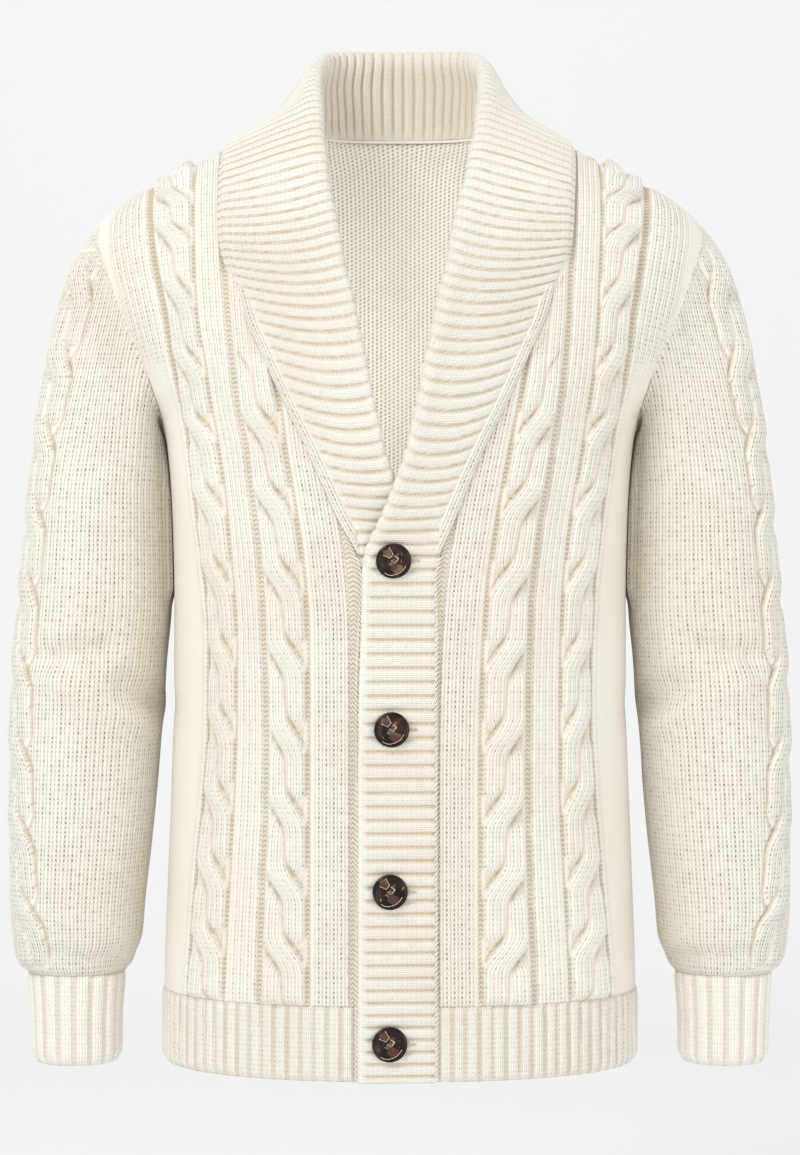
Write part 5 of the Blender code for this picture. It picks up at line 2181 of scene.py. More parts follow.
@dataclass(frozen=True)
class ShawlCollar:
    """Both bands and the turned-over collar: one folded rib strip."""

    cut: Cut = Cut((0.30, 1.85), Held.FOLDED)
    ply: float = 0.0026
    ply_gap: float = 0.0004
    clearance: float = 0.0016
    flat_below: float = -0.335
    lying_above: float = -0.260
    bands: tuple[float, ...] = (-0.7175, -0.63, -0.53, -0.46, -0.40, -0.362, -0.345, -0.335)
    cells_per_rib: float = 8.0
    across: int = 52
    border_cells: int = 5
    border_wale: float = 0.0053
    border_wide: float = 0.0105
    border_least: float = 0.0012
    turned_from: float = -0.345
    turned_over: float = 0.03
    border_top: float = -0.125
    border_height: float = 0.0008
    groove: float = 0.0010
    groove_depth: float = 0.0006
    edge_depth: float = 0.0010
    edge: float = 0.0028
    tuck_width: float = 0.0024
    fold_flat: float = 0.0085
    fold_roll: float = 0.006
    seam_height: float = 0.0016
    seam_width: float = 0.0032
    ridge_sides: Spot = (0.955, 0.685)
    valley_shade: float = 0.36
    line_shade: float = 0.46
    groove_shade: float = 0.12
    spot_shade: float = 0.5
    inside_shade: float = 0.17
    end_ribs: float = 0.4
    fold_column: int = 8
    tuck: float = 0.0017
    period: Table = Table(
        ("height", "length"),
        (
            (-0.7175, 0.0085), (-0.60, 0.0094), (-0.45, 0.0101), (-0.33, 0.0103),
            (-0.25, 0.0106), (-0.15, 0.0098), (-0.10, 0.0092), (0.0, 0.0085), (0.07, 0.0084),
        ),
    )
    dip: Table = Table(
        ("height", "depth"),
        (
            (-0.7175, 0.0), (-0.345, 0.0), (-0.30, 0.004), (-0.25, 0.008), (-0.13, 0.009),
            (-0.08, 0.006), (-0.03, 0.0), (0.07, 0.0),
        ),
    )

    def level(self, place: str, height: float, side: int) -> float:
        """Level of a place of the strip over the body's surface, left over right."""
        return float(PLY_LEVELS.at(place + ("_over" if side > 0 else "_under"), height))

    def band_row(self, height: float) -> Station:
        """Sizes of a station of the bands.

        Args:
            height: Its height.

        Returns:
            The station.
        """
        row = dict.fromkeys(COLLAR_TABLE.columns, 0.0)
        row["outer_half"] = float(BODY.front_edge.at("seam", height)) - SEAM_GAP
        row["fold_half"] = -float(BODY.front_edge.at("fold", height))
        for side, name in ((1, "fold_y"), (-1, "fold_y_under")):
            x = abs(side * float(BODY.front_edge.at("centre", height)) + row["fold_half"])
            turn = float(BODY.turn_at(x, height))
            level = self.level("fold", height, side)
            row[name] = float((BODY.point(turn, height) + BODY.normal(turn, height) * level)[1])
        row["outer_z"] = row["fold_z"] = row["seam_z"] = height
        row["roll"] = self.ply_gap / 2
        return row

    def seam(self, row: Station, side: int) -> tuple[Array, Array]:
        """End of the inner ply at the seam, and the way out of the body there.

        Args:
            row: Sizes of the section.
            side: 1 for the wearer's left, -1 for the right.

        Returns:
            The point and the way out.
        """
        if row["seam_turn"]:
            turn = row["seam_turn"]
            z = -BODY.neck_drop * math.sin(math.pi / 2 * min(max(turn - 1, 0.0), 1.0)) + SEAM_GAP
            return BODY.point(turn, z, side), BODY.normal(turn, z, side)
        z = row["seam_z"]
        x = float(BODY.edge(z, side)) - 2 * SEAM_GAP
        turn = float(BODY.turn_at(x, z))
        out = BODY.normal(turn, z, side)
        return BODY.point(turn, z, side) + out * self.level("inner", z, side), out

    @staticmethod
    def on_body(point: Array, level: float) -> tuple[Array, Array]:
        """Set a point at a level outside the body, and give the way out there.

        Args:
            point: The point.
            level: Distance outside the body.

        Returns:
            The point and the way out.
        """
        out = point
        for _ in range(8):
            distance, out = BODY.distance(point)
            point = point + out * (level - distance)
        return point, out

    @staticmethod
    def clear_of_body(point: Array, gap: float) -> Array:
        """Move a point out until it is at least a gap outside the body.

        Args:
            point: The point.
            gap: The least distance.

        Returns:
            The point, moved if need be.
        """
        for _ in range(4):
            if point[2] > -0.0005:
                return point
            distance, out = BODY.distance(point)
            if distance >= gap:
                return point
            point = point + out * (gap - distance)
        return point

    def clear_of_ply(self, point: Array, ply: list[Array], out: Array) -> Array:
        """Move a point of the outer ply out until it clears the inner ply below it.

        Args:
            point: The point.
            ply: Points of the inner ply.
            out: Way out of the strip.

        Returns:
            The point, moved if need be.
        """
        along = unit(ply[0] - ply[-1])
        places = np.array([np.dot(p - ply[-1], along) for p in ply[::-1]])
        heights = np.array([np.dot(p - ply[-1], out) for p in ply[::-1]])
        place = np.dot(point - ply[-1], along)
        if place < 0 or place > places[-1]:
            return point
        short = np.interp(place, places, heights) + self.ply_gap - np.dot(point - ply[-1], out)
        return point + out * max(short, 0.0)

    @staticmethod
    def bezier(points: tuple[Array, Array, Array, Array], s: float) -> Array:
        """Point of a cubic curve.

        Args:
            points: The curve's four points.
            s: Place on the curve, from 0 to 1.

        Returns:
            The point.
        """
        r = 1 - s
        a, b, c, d = points
        return r ** 3 * a + 3 * r * r * s * b + 3 * r * s * s * c + s ** 3 * d

    def outer_edge(self, row: Station, side: int, level: float) -> tuple[Array, Array]:
        """Outer edge of the collar on the body, and the way out there.

        Args:
            row: Sizes of the section.
            side: 1 for the wearer's left, -1 for the right.
            level: Distance outside the body.

        Returns:
            The point and the way out.
        """
        centre = float(BODY.front_edge.at("centre", row["outer_z"]))
        x = side * centre + row["outer_half"]
        if row["outer_y"]:
            return self.on_body(np.array([side * x, row["outer_y"], row["outer_z"]]), level)
        turn = float(BODY.turn_at(x, row["outer_z"]))
        normal = BODY.normal(turn, row["outer_z"], side)
        return BODY.point(turn, row["outer_z"], side) + normal * level, normal

    def section(self, row: Station, side: int) -> list[Array]:
        """Points of one section inside the fold, from the outer edge round to the seam.

        Args:
            row: Sizes of the section.
            side: 1 for the wearer's left, -1 for the right.

        Returns:
            The points.
        """
        level = self.level("outer", row["outer_z"], side)
        outer, normal = self.outer_edge(row, side, level)
        seam, out = self.seam(row, side)
        fold_y = row["fold_y"] if side > 0 else row["fold_y_under"]
        fold_x = float(BODY.front_edge.at("centre", row["fold_z"])) + side * row["fold_half"]
        fold = np.array([fold_x, fold_y, row["fold_z"]])
        tip = unit(fold - (outer + seam) / 2)
        out = unit(out - tip * np.dot(out, tip))
        centre = fold - tip * (row["roll"] + self.ply)
        start, end = centre + out * row["roll"], centre - out * row["roll"]
        reach = np.linalg.norm(end - seam) / 3
        lower = (end, end - tip * reach, seam + unit(end - seam) * reach, seam)
        inner = [self.bezier(lower, k / 3) for k in range(1, 4)]
        reach = np.linalg.norm(start - outer) / 3
        crown = reach * (1.0 + 0.5 * min(max(row["fold_z"] / 0.04, 0.0), 1.0))
        straight = unit(start - outer)
        lying = unit(straight - normal * np.dot(straight, normal))
        share = (row["outer_z"] - self.flat_below) / (self.lying_above - self.flat_below)
        share = min(max(share, 0.0), 1.0)
        leave = unit(straight * (1 - share) + lying * share)
        upper = (outer, outer + leave * reach, start - tip * crown, start)
        points = []
        for k in range(6):
            p = self.bezier(upper, k / 6)
            centre_x = float(BODY.front_edge.at("centre", p[2]))
            over = float(BODY.front_edge.at("seam", p[2])) - self.clearance
            if p[1] > 0 or side * (p[0] - centre_x) > over:
                p = self.clear_of_body(p, min(level, self.clearance))
            points.append(self.clear_of_ply(p, [end] + inner, out))
        for k in range(5):
            angle = math.pi * k / 4
            points.append(centre + row["roll"] * (out * math.cos(angle) + tip * math.sin(angle)))
        return points + inner

    def visible(self) -> tuple[Array, Array, Array]:
        """Coarse grid of the visible side, its ways out and the fold's heights.

        Returns:
            Points, ways out and a height for each section.
        """
        rows = [self.band_row(z) for z in self.bands]
        rows += [dict(zip(COLLAR_TABLE.columns, values)) for values in COLLAR_TABLE.rows]
        stations = [(row, 1) for row in rows] + [(row, -1) for row in rows[-2::-1]]
        facing = np.array([self.section(row, side) for row, side in stations])
        walls = unit(np.cross(np.gradient(facing, axis=1), np.gradient(facing, axis=0)))
        for wall, (row, side) in zip(walls, stations):
            wall[-1] = self.seam(row, side)[1]
        heights = np.array([row["fold_z"] for row, _ in stations])
        return facing - walls * self.ply, -walls, heights

    def dress(self, wardrobe: Wardrobe) -> None:
        """Knit the strip.

        Args:
            wardrobe: The finishes, the relief and the creases.
        """
        grid, out, heights = self.visible()
        steps = np.linalg.norm(np.diff(grid[:, self.fold_column], axis=0), axis=1)
        middle = (heights[1:] + heights[:-1]) / 2
        ribs = np.concatenate([[0.0], np.cumsum(steps / self.period.at("length", middle))])
        at = np.linspace(0.0, ribs[-1], round(ribs[-1] * self.cells_per_rib) + 1)
        fine, ways = (
            curve_through(ribs, values.reshape(len(grid), -1), at).reshape(len(at), -1, 3)
            for values in (grid, out))
        points, normal, away, wide = self.spread(fine, ways)
        fold = np.array([even_places(line)[self.fold_column] for line in fine])[:, None]
        z_at = np.interp(at, ribs, heights)
        up = np.where(at < ribs[-1] / 2, 1.0, -1.0)
        lapel = smooth((z_at - self.turned_from) / self.turned_over)[:, None]
        rib = self.lay_ribs(at, up, away / fold, z_at, lapel)
        tucked = self.tuck * lapel * near(away, self.tuck_width)
        ends = smooth(at / self.end_ribs + 0.1) * smooth((ribs[-1] - at) / self.end_ribs + 0.1)
        stand = smooth((z_at + 0.02) / 0.03)[:, None]
        shell = KnitShell(
            points - normal * tucked[..., None], normal, wall=self.ply, rib=rib,
            amount=ends[:, None] * smooth(away / 0.002 + 0.2),
            **self.stitches(rib, away, wide, fold, lapel, stand, up[:, None]))
        fronts = ("knit_front_left", "knit_front_right")
        wardrobe.knit(shell, "shawl_collar", self.cut, *fronts, "knit_back")

    def stitches(self, rib: Array, away: Array, wide: Array, fold: Array, lapel: Array,
                 stand: Array, up: Array) -> dict[str, Array]:
        """Fields of the strip's stitches.

        Args:
            rib: Places in ribs.
            away: Distances from the outer edge.
            wide: Width of the lapels' border in each section.
            fold: Distance of the fold from the outer edge.
            lapel: 1 where the strip is turned over, 0 at the bands.
            stand: 1 behind the neck, 0 in front.
            up: 1 where the strip runs up the garment, -1 where it runs down.

        Returns:
            The fields by name.
        """
        place, valley = rib % 1, rib_valley(rib)
        from_border, bordered = away - wide, smooth(wide / 0.003)
        columns = np.arange(self.across + 1)
        border = (columns <= self.border_cells) * bordered
        jump = (np.abs(columns - self.border_cells - 0.5) < 1) * bordered
        to_fold, to_seam = np.abs(away - fold), away[:, -1:] - away
        at_fold = smooth((self.fold_flat - to_fold) / 0.004) * (1 - lapel)
        rolled = near(to_fold, self.fold_roll) * lapel
        ribbing = (1 - border) * (1 - 0.9 * at_fold) * (1 - 0.68 * rolled)
        ribbing = ribbing * smooth(to_seam / (0.006 + 0.004 * stand) + 0.1 - 0.2 * stand)
        ribbing = ribbing * (1 - 0.5 * lapel * (1 - smooth(from_border / 0.005)))
        purl = valley * ribbing
        line = near(place - np.where(up > 0, *self.ridge_sides), 0.045) * ribbing
        groove = near(from_border - 0.0007, self.groove) * bordered
        wales = away / self.border_wale
        lift = self.border_height * border * np.abs(np.sin(np.pi * wales)) ** 0.5
        lift = lift - self.groove_depth * groove - self.edge_depth * near(away, self.edge)
        lift = lift + self.seam_height * stand * near(to_seam - 0.0055, self.seam_width)
        # Painted shade in dots where the valleys meet the border, and on the inside of the stand
        # behind the neck.
        shaded_dots = near(from_border - 0.0012, 0.0012) * valley * lapel
        inside = stand * smooth((away / fold - 1.05) / 0.15)
        # Painted shade in the valleys, in a dark line along one side of each valley and in the
        # border's groove; a little less at the fold.
        shade = self.valley_shade * purl + self.line_shade * line + self.groove_shade * groove
        shade = shade + self.spot_shade * shaded_dots - 0.05 * at_fold - 0.02
        shade = shade + inside * (self.inside_shade + 0.30 * near(place - 0.82, 0.06) * ribbing)
        calm = np.maximum(np.maximum(0.9 * at_fold, 0.72 * (1 - border)), 1.7 * jump)
        return {"wale": np.where(border > 0.5, wales, rib_wale(rib)),
                "row": np.where(border > 0.5, rib * RIB_WALES, away / ROW),
                "ribbing": ribbing, "purl": purl, "lift": lift, "shade": shade, "calm": calm}

    def spread(self, fine: Array, ways: Array) -> tuple[Array, Array, Array, Array]:
        """Points across every section of the strip, with cells for the lapels' border.

        Args:
            fine: Sections of the strip's visible side.
            ways: Ways out there.

        Returns:
            Points, ways out, distances from the outer edge, and the border's width.
        """
        outer_z = fine[:, 0, 2]
        wide = smooth((outer_z - self.turned_from) / 0.035)
        wide = self.border_wide * (wide * smooth((self.border_top - outer_z) / 0.03))
        rows = []
        for line, way, width in zip(fine, ways, wide):
            places = even_places(line)
            first = max(width, self.border_least)
            border = np.linspace(0, first, self.border_cells + 1)
            inside = np.linspace(first + 0.0004, places[-1], self.across - self.border_cells)
            away = np.concatenate([border, inside])
            rows.append((curve_through(places, line, away), curve_through(places, way, away), away))
        points, normal, away = (np.array(values) for values in zip(*rows))
        return points, unit(normal), away, wide[:, None]

    def lay_ribs(self, at: Array, up: Array, part: Array, z_at: Array, lapel: Array) -> Array:
        """Place of every point in the ribs, which dip between the outer edge and the fold.

        Args:
            at: Place of each section along the strip, in ribs.
            up: 1 where the strip runs up the garment, -1 where it runs down.
            part: Share of the way from the outer edge to the fold.
            z_at: Height of each section's fold.
            lapel: 1 where the strip is turned over, 0 at the bands.

        Returns:
            Places in ribs.
        """
        across = np.clip(part, 0, 1)
        dip = self.dip.at("depth", z_at) / self.period.at("length", z_at) * up
        rib = at[:, None] + 4 * across * (1 - across) * dip[:, None] + 0.3
        upper = smooth((z_at + 0.13) / 0.06)[:, None]
        ends = np.maximum(1 - smooth(part / 0.35), near(part - 1, 0.10)) * lapel
        return narrow_valleys(rib, RIDGE_SHARE + 0.12 * np.maximum(upper, ends))

    def face(self, x: float, height: float) -> Array:
        """Point on the face of the left band.

        Args:
            x: Place across the garment.
            height: Its height.

        Returns:
            The point.
        """
        edge = BODY.front_edge
        seam = float(edge.at("centre", height) + edge.at("seam", height))
        share = (seam - x) / float(edge.at("seam", height) + edge.at("fold", height))
        at_seam = self.level("outer", height, 1) + self.ply
        at_fold = self.level("fold", height, 1) + self.ply + self.ply_gap / 2
        turn = float(BODY.turn_at(abs(x), height))
        side = 1 if x >= 0 else -1
        level = at_seam + (at_fold - at_seam) * share
        return BODY.point(turn, height, side) + BODY.normal(turn, height, side) * level


@dataclass(frozen=True)
class Button:
    """Round button with two square holes and slanting facets, sewn on with thread."""

    number: int
    x: float
    z: float
    radius: float = 0.0128
    thick: float = 0.0036
    dish: float = 0.0088
    dish_depth: float = 0.0012
    clearance: float = 0.0005
    steps: int = 72
    hole: float = 0.0016
    slant: float = math.radians(-35)
    holes: tuple[Spot, ...] = ((0.0009, 0.0014), (-0.0015, -0.0020))
    lip: float = 0.00050
    rise: float = 0.0004
    ridge_rise: float = 0.00045
    lip_rise: float = 0.00022
    strand: float = 0.00034
    strand_gap: float = 0.00036
    # Outlines of the facets in the dish, which carry painted reflections.
    facets: tuple[tuple[Spot, ...], ...] = (
        ((-0.0004, 0.0050), (-0.0033, 0.0101), (-0.0074, 0.0076), (-0.0076, 0.0043),
         (-0.0028, 0.0021)),
        ((-0.0026, -0.0056), (0.0017, -0.0093), (0.0066, -0.0062), (0.0064, -0.0034),
         (0.0009, -0.0013)),
        ((0.0017, 0.0037), (0.0034, 0.0029), (0.0041, 0.0060), (0.0012, 0.0053)),
    )
    # Lines of the ridges, which carry painted highlights.
    ridges: tuple[tuple[Spot, ...], ...] = (
        ((-0.0028, 0.0021), (-0.0004, 0.0050), (-0.0033, 0.0101)),
        ((-0.0076, 0.0043), (-0.0028, 0.0021)),
        ((-0.0065, -0.0086), (-0.0041, -0.0099), (-0.0014, -0.0103), (0.0021, -0.0095),
         (0.0047, -0.0082), (0.0068, -0.0064), (0.0087, -0.0035)),
    )

    def frame(self) -> Matrix:
        """Place of the button on the band's face.

        Returns:
            The matrix from the button's own place to its place on the garment.
        """
        face = ShawlCollar().face
        right = face(self.x + self.radius, self.z) - face(self.x - self.radius, self.z)
        up = face(self.x, self.z + self.radius) - face(self.x, self.z - self.radius)
        out = unit(np.cross(right, up))
        right = unit(right)
        up = np.cross(out, right)
        here = face(self.x, self.z) + out * self.clearance
        columns = np.stack([right, up, out, here], axis=1)
        return Matrix(columns.tolist() + [[0, 0, 0, 1]])

    def profile(self) -> list[Spot]:
        """Half section of the button, from the middle of its face round to its back.

        Returns:
            Distances from the axis and heights.
        """
        top = self.thick
        floor = top - self.dish_depth
        rim = (self.dish + self.radius) / 2
        points = [(0.0, floor - 0.0001), (self.dish * 0.5, floor - 0.00005), (self.dish * 0.86, floor)]
        points += [(self.dish * 0.97, floor + 0.00025), (self.dish * 1.05, floor + 0.0008)]
        points += [(rim - 0.0008, top - 0.0001), (rim, top), (rim + 0.0009, top - 0.0002)]
        points += [(self.radius * 0.975, top * 0.80), (self.radius, top * 0.55)]
        points += [(self.radius * 0.97, top * 0.28), (self.radius * 0.88, 0.0001), (0.0, 0.0)]
        return points

    def body(self) -> bpy.types.Object:
        """Turned body with the holes through it.

        Returns:
            The object, at the origin.
        """
        work = bmesh.new()
        ring = [work.verts.new((r, 0.0, z)) for r, z in self.profile()]
        edges = [work.edges.new(pair) for pair in zip(ring, ring[1:])]
        bmesh.ops.spin(work, geom=ring + edges, cent=(0, 0, 0), axis=(0, 0, 1),
                       angle=2 * math.pi, steps=self.steps, use_merge=True)
        bmesh.ops.remove_doubles(work, verts=work.verts, dist=0.000005)
        bmesh.ops.recalc_face_normals(work, faces=work.faces)
        thing = link("button_body", mesh_of("button_body", work))
        cutter = self.cutter()
        cut = thing.modifiers.new("holes", "BOOLEAN")
        cut.operation = "DIFFERENCE"
        cut.solver = "EXACT"
        cut.object = cutter
        ready = thing.evaluated_get(bpy.context.evaluated_depsgraph_get())
        solid = bpy.data.meshes.new_from_object(ready)
        thing.modifiers.remove(cut)
        whole = thing.data
        thing.data = solid
        bpy.data.meshes.remove(whole)
        bpy.data.objects.remove(cutter, do_unlink=True)
        solid.shade_smooth()
        return thing

    def beside(self, hole: Spot, across: float, up: float) -> Spot:
        """Point beside a hole, measured along its slanting sides."""
        c, s = math.cos(self.slant), math.sin(self.slant)
        return hole[0] + across * c - up * s, hole[1] + across * s + up * c

    def cutter(self) -> bpy.types.Object:
        """Two square pins where the holes are.

        Returns:
            The object.
        """
        work = bmesh.new()
        for x, y in self.holes:
            place = Matrix.Translation((x, y, self.thick / 2)) @ Matrix.Rotation(self.slant, 4, "Z")
            size = Matrix.Diagonal((2 * self.hole, 2 * self.hole, self.thick * 2, 1.0))
            bmesh.ops.create_cube(work, size=1.0, matrix=place @ size)
        return link("pins", mesh_of("pins", work))

    def prism(self, work: bmesh.types.BMesh, outline: list[Spot], rise: float, painted_reflection: float) -> None:
        """Add a closed prism that follows the dish, for the facets, the ridges and the lips.

        Args:
            work: Mesh of the button.
            outline: Corners, anticlockwise seen from the front.
            rise: How far the prism stands out of the dish.
            painted_reflection: How much painted reflection the horn carries: 0.5 on the facets, 1 for
                a painted highlight.
        """
        layer = work.verts.layers.float["painted_reflection"]
        floor = self.thick - self.dish_depth
        tops = [floor + rise + 0.0009 * min(math.hypot(x, y) / 0.0106, 1.0) ** 3 for x, y in outline]
        lower = [work.verts.new((x, y, floor - 0.0004)) for x, y in outline]
        upper = [work.verts.new((x, y, z)) for (x, y), z in zip(outline, tops)]
        for vert in lower + upper:
            vert[layer] = painted_reflection
        centre = sum((v.co for v in upper), Vector()) / len(upper) + Vector((0, 0, rise))
        middle = work.verts.new(centre)
        middle[layer] = painted_reflection
        work.faces.new(lower[::-1])
        for k, corner in enumerate(upper):
            following = (k + 1) % len(upper)
            work.faces.new((corner, upper[following], middle))
            work.faces.new((lower[k], lower[following], upper[following], corner))

    def ridge(self, work: bmesh.types.BMesh, line: tuple[Spot, ...]) -> None:
        """Add a narrow ridge along a line, pale with a painted highlight.

        Args:
            work: The bmesh.
            line: Points of the line.
        """
        for (x, y), (far_x, far_y) in zip(line, line[1:]):
            half = self.lip * 0.35 / math.hypot(far_x - x, far_y - y)
            aside_x, aside_y = (y - far_y) * half, (far_x - x) * half
            outline = [(x - aside_x, y - aside_y), (far_x - aside_x, far_y - aside_y),
                       (far_x + aside_x, far_y + aside_y), (x + aside_x, y + aside_y)]
            self.prism(work, outline, self.ridge_rise, 1.0)

    def trim(self, thing: bpy.types.Object) -> None:
        """Add the facets, with painted reflections, and the ridges and the lips of the holes, with
        painted highlights.

        Args:
            thing: The button's body.
        """
        work = bmesh.new()
        work.from_mesh(thing.data)
        work.verts.layers.float.new("painted_reflection")
        for line in self.ridges:
            self.ridge(work, line)
        for outline in self.facets:
            self.prism(work, list(outline), self.rise, 0.5)
        h, w = self.hole, self.hole + self.lip
        for hole in self.holes:
            for bar in (((-h, h), (w, h), (w, w), (-h, w)), ((h, -h), (w, -h), (w, h), (h, h))):
                corners = [self.beside(hole, *corner) for corner in bar]
                self.prism(work, corners, self.lip_rise, 1.0)
        work.to_mesh(thing.data)
        work.free()

    def threads(self, wardrobe: Wardrobe, place: Matrix) -> None:
        """Two strands of thread from hole to hole.

        Args:
            wardrobe: The finishes, the relief and the creases.
            place: Place of the button.
        """
        work = bmesh.new()
        level = self.thick - self.dish_depth + 0.0004
        first, last = (Vector((x, y, 0.0)) for x, y in self.holes)
        aside = (last - first).normalized().cross(Vector((0, 0, 1)))
        spokes = [aside * math.cos(a) + Vector((0, 0, math.sin(a)))
                  for a in np.linspace(0, 2 * math.pi, 8, endpoint=False)]
        for shift in (-self.strand_gap, self.strand_gap):
            rings = []
            for s in np.linspace(-1, 1, 13):
                p = (first + last) / 2 + (last - first) * (s / 2) + aside * shift
                p.z = level - 0.0024 * abs(s) ** 4
                rings.append([work.verts.new(p + spoke * self.strand) for spoke in spokes])
            for low, high in zip(rings, rings[1:]):
                for k in range(8):
                    work.faces.new((low[k], low[(k + 1) % 8], high[(k + 1) % 8], high[k]))
            work.faces.new(rings[0][::-1])
            work.faces.new(rings[-1])
        bmesh.ops.recalc_face_normals(work, faces=work.faces)
        name = "thread_%d" % self.number
        mesh = mesh_of(name, work)
        mesh.transform(place)
        mesh.shade_smooth()
        mesh.materials.append(wardrobe.cord)
        wardrobe.declare(link(name, mesh), "shawl_collar")

    def dress(self, wardrobe: Wardrobe) -> None:
        """Turn the button and sew it on.

        Args:
            wardrobe: The finishes, the relief and the creases.
        """
        place = self.frame()
        thing = self.body()
        self.trim(thing)
        thing.name = thing.data.name = "horn_button_%d" % self.number
        thing.data.transform(place)
        thing.data.materials.clear()
        thing.data.materials.append(wardrobe.horn)
        self.threads(wardrobe, place)
        node = "button_%d" % self.number
        wardrobe.declare(thing, node, node)


@dataclass(frozen=True)
class NeckSeam:
    """Rolled linking seam between the back and the collar, inside the neck."""

    row: StitchRow = StitchRow(pitch=0.0021, length=0.0040, thickness=0.0019)
    first_turn: float = 1.03
    inset: float = 0.0045
    rise: float = 0.0022

    def dress(self, wardrobe: Wardrobe) -> None:
        """Link the seam.

        Args:
            wardrobe: The finishes, the relief and the creases.
        """
        turns = np.linspace(self.first_turn, 2.0, 60)
        drop = BODY.neck_drop * np.sin(math.pi / 2 * (turns - 1))
        points = BODY.point(turns, -drop) - BODY.normal(turns, -drop) * self.inset
        points[:, 2] += self.rise
        line = np.concatenate([points, points[:-1][::-1] * Side.RIGHT.mirror])
        ways = unit(unit(np.gradient(line, axis=0)) + np.array([0.0, 0.0, 0.45]))
        wardrobe.declare(self.row.sew("neck_seam", line, ways, wardrobe.wool), "back")


@dataclass(frozen=True)
class ArmholeSeam:
    """Small stitches along one armhole."""

    side: Side
    row: StitchRow = StitchRow(pitch=0.0048, length=0.0050, thickness=0.0011)
    reach: float = 2.2

    def dress(self, wardrobe: Wardrobe) -> None:
        """Link the seam.

        Args:
            wardrobe: The finishes, the relief and the creases.
        """
        angles = np.linspace(-self.reach, self.reach, 160)
        points = np.array([ARM.seam_point(a) + ARM.seam_normal(a) * 0.0001 for a in angles])
        along = unit(np.gradient(points, axis=0))
        thing = self.row.sew("armhole_seam_" + self.side.label, points * self.side.mirror,
                             along * self.side.mirror, wardrobe.wool)
        wardrobe.declare(thing, "front_" + self.side.label)


@dataclass(frozen=True)
class BandSeam:
    """Slanting stitches that link one front to its band."""

    side: Side
    row: StitchRow = StitchRow(pitch=0.0036, length=0.0050, thickness=0.0012)
    low: float = -0.7150
    high: float = -0.3400
    level: float = 0.0028

    def dress(self, wardrobe: Wardrobe) -> None:
        """Link the seam.

        Args:
            wardrobe: The finishes, the relief and the creases.
        """
        heights, side = np.linspace(self.low, self.high, 120), self.side.value
        turns = BODY.turn_at(BODY.edge(heights, side) - SEAM_GAP / 2, heights)
        points = BODY.point(turns, heights, side)
        points = points + BODY.normal(turns, heights, side) * self.level
        ways = unit(unit(np.gradient(points, axis=0)) + np.array([0.45 * side, 0.0, 0.0]))
        thing = self.row.sew("band_seam_" + self.side.label, points, ways, wardrobe.wool)
        wardrobe.declare(thing, "front_" + self.side.label)


@dataclass(frozen=True)
class Buttonhole:
    """Slit beside a button, bound with stitches."""

    number: int
    x: float
    z: float
    row: StitchRow = StitchRow(pitch=0.0012, length=0.0018, thickness=0.0006)
    start: float = 0.0090
    length: float = 0.0095
    opening: float = 0.0009
    rise: float = 0.0012

    def dress(self, wardrobe: Wardrobe) -> None:
        """Bind the slit.

        Args:
            wardrobe: The finishes, the relief and the creases.
        """
        face = ShawlCollar().face
        half = self.length / 2
        middle = self.x + self.start + half
        points = np.array([
            face(middle + half * math.cos(a), self.z + self.opening * math.sin(a))
            for a in np.linspace(0, 2 * math.pi, 41)])
        points = points + np.array([0.0, -self.rise, 0.0])
        ways = (points - points[:-1].mean(axis=0)) * np.array([0.35, 1.0, 1.0])
        thing = self.row.sew("buttonhole_%d" % self.number, points, unit(ways), wardrobe.thread)
        wardrobe.declare(thing, "shawl_collar")


# --------------------------------------------------------------------------------------- room


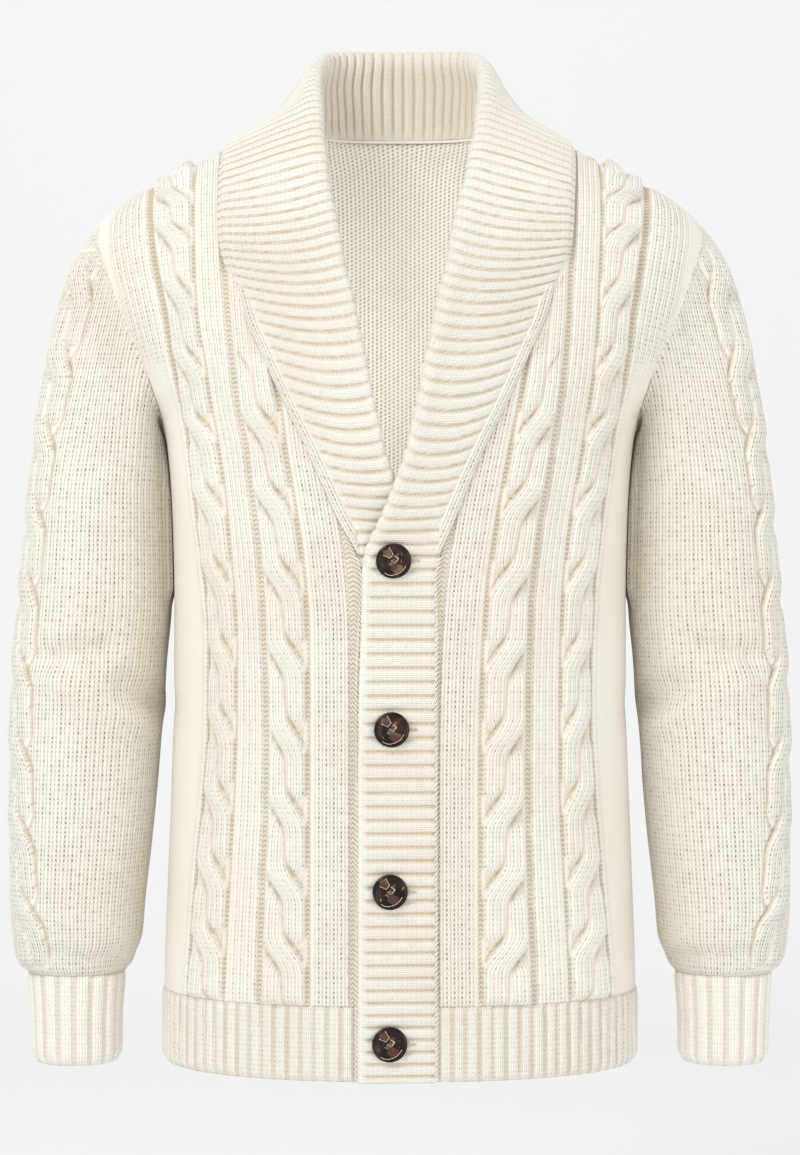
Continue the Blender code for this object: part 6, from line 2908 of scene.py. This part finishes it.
@dataclass(frozen=True)
class Studio:
    """Camera, soft lights and a pale sweep."""

    distance: float = 2.2
    aim: float = -0.353
    lens: float = 59.68
    film: float = 24.0
    key: float = 37.0
    fill: float = 16.0
    inside: float = 0.28
    paper: float = 7.0
    sky: float = 0.80
    white: Colour = (0.93, 0.93, 0.93, 1.0)
    floor: float = -1.05
    back: float = 3.0
    front: float = -4.0
    top: float = 3.2
    half_width: float = 4.5
    bend: float = 0.8
    bend_steps: int = 12
    key_place: Place = (-1.5, -1.9, 1.5)
    key_size: float = 1.2
    fill_place: Place = (1.7, -2.0, -0.7)
    fill_size: float = 1.6
    paper_place: Place = (0.0, 0.9, 2.3)
    paper_size: float = 2.0
    paper_aim: Place = (0.0, 2.6, -0.7)
    inside_place: Place = (0.0, -0.050, -0.19)
    inside_size: float = 0.22
    inside_aim: Place = (0.0, 1.0, -0.295)

    def camera(self) -> None:
        """Level camera straight in front."""
        data = bpy.data.cameras.new("camera")
        data.sensor_fit = "VERTICAL"
        data.sensor_height = self.film
        data.lens = self.lens
        data.dof.use_dof = False
        thing = link("camera", data)
        thing.location = (0.0, -self.distance, self.aim)
        thing.rotation_euler = (math.pi / 2, 0.0, 0.0)
        bpy.context.scene.camera = thing

    @staticmethod
    def lamp(name: str, place: Place, size: float, power: float, aim: Place) -> bpy.types.Object:
        """Square soft light aimed at a place.

        Args:
            name: Name of the lamp.
            place: Where it stands.
            size: Its width.
            power: Its power in watts.
            aim: The place that it lights.

        Returns:
            The lamp.
        """
        data = bpy.data.lights.new(name, "AREA")
        data.shape = "SQUARE"
        data.size = size
        data.energy = power
        thing = link(name, data)
        thing.location = place
        thing.rotation_euler = (Vector(aim) - Vector(place)).to_track_quat("-Z", "Y").to_euler()
        return thing

    def sweep(self) -> None:
        """Floor that curves up into a backdrop."""
        line = [(self.front, self.floor)]
        for angle in (math.pi / 2 * k / self.bend_steps for k in range(self.bend_steps + 1)):
            line.append((self.back - self.bend + self.bend * math.sin(angle),
                         self.floor + self.bend * (1 - math.cos(angle))))
        line.append((self.back, self.top))
        points = [(x, y, z) for y, z in line for x in (-self.half_width, self.half_width)]
        faces = [(2 * k, 2 * k + 1, 2 * k + 3, 2 * k + 2) for k in range(len(line) - 1)]
        mesh = bpy.data.meshes.new("sweep")
        mesh.from_pydata(points, [], faces)
        mesh.shade_smooth()
        mesh.materials.append(PlainFinish("paper", self.white).make())
        link("sweep", mesh)

    def light(self) -> None:
        """Set up the room."""
        scene = bpy.context.scene
        world = bpy.data.worlds.new("room")
        world.use_nodes = True
        shine = world.node_tree.nodes["Background"]
        shine.inputs["Color"].default_value = (1.0, 1.0, 1.0, 1.0)
        shine.inputs["Strength"].default_value = self.sky
        scene.world = world
        scene.view_settings.view_transform = "Standard"
        garment = (0.0, 0.0, self.aim)
        self.lamp("key", self.key_place, self.key_size, self.key, garment)
        self.lamp("fill", self.fill_place, self.fill_size, self.fill, garment)
        self.lamp("paper", self.paper_place, self.paper_size, self.paper, self.paper_aim)
        glow = self.lamp("inside", self.inside_place, self.inside_size, self.inside,
                         self.inside_aim)
        glow.visible_camera = False


# --------------------------------------------------------------------------------------- main


CREASES = (
    Crease((0.262, -0.413), (0.225, -0.405), 0.010, -0.0065),
    Crease((0.256, -0.430), (0.196, -0.462), 0.011, 0.0045),
    Crease((0.205, -0.437), (0.182, -0.449), 0.012, -0.0052),
    Crease((0.275, -0.395), (0.215, -0.405), 0.011, -0.0045, True),
    Crease((0.250, -0.430), (0.195, -0.445), 0.013, 0.0035, True),
    Crease((-0.262, -0.413), (-0.222, -0.406), 0.010, -0.0070),
    Crease((-0.256, -0.430), (-0.196, -0.462), 0.011, 0.0048),
    Crease((-0.205, -0.437), (-0.182, -0.449), 0.012, -0.0058),
    Crease((-0.270, -0.392), (-0.210, -0.410), 0.011, -0.0045, True),
    Crease((-0.250, -0.432), (-0.190, -0.450), 0.013, 0.0035, True),
    Crease((0.205, -0.640), (0.270, -0.632), 0.008, -0.0030),
    Crease((-0.270, -0.632), (-0.215, -0.641), 0.008, -0.0030),
    Crease((0.210, -0.636), (0.275, -0.640), 0.008, -0.0030, True),
    Crease((-0.275, -0.638), (-0.210, -0.634), 0.008, -0.0030, True),
    Crease((0.120, -0.560), (0.172, -0.480), 0.022, -0.0035, True),
    Crease((-0.125, -0.430), (-0.060, -0.470), 0.024, -0.0030, True),
    Crease((0.045, -0.360), (0.120, -0.340), 0.022, -0.0025, True),
)
BUTTONS = ((-0.0047, -0.3406), (-0.0061, -0.4627), (-0.0072, -0.5799), (-0.0075, -0.6892))


def main() -> None:
    """Dress the frame, piece by piece."""
    logging.basicConfig(level=logging.INFO, format="%(message)s")
    wool = WoolFinish().make()
    relief = KnitRelief()
    wardrobe = Wardrobe(
        wool=wool, horn=HornFinish().make(),
        thread=PlainFinish("thread", (0.55, 0.48, 0.36, 1.0)).make(),
        cord=PlainFinish("cord", (0.24, 0.14, 0.09, 1.0)).make(),
        relief=relief, tree=relief.tree(wool), creases=CREASES)
    HemRib("back", None, Cut((0.475, 0.055), Held.STRETCHED, 5)).dress(wardrobe)
    for side in Side:
        HemRib(side.label, side, Cut((0.262, 0.055), Held.STRETCHED, 5)).dress(wardrobe)
    BackPanel().dress(wardrobe)
    for side in Side:
        FrontPanel(side).dress(wardrobe)
    for side in Side:
        Sleeve(side).dress(wardrobe)
        Cuff(side).dress(wardrobe)
    ShawlCollar().dress(wardrobe)
    for number, (x, z) in enumerate(BUTTONS, start=1):
        Button(number, x, z).dress(wardrobe)
        Buttonhole(number, x, z).dress(wardrobe)
    NeckSeam().dress(wardrobe)
    for side in Side:
        ArmholeSeam(side).dress(wardrobe)
        BandSeam(side).dress(wardrobe)
    studio = Studio()
    studio.sweep()
    studio.light()
    studio.camera()
    LOG.info("%d pieces", wardrobe.count)


if __name__ == "__main__":
    main()
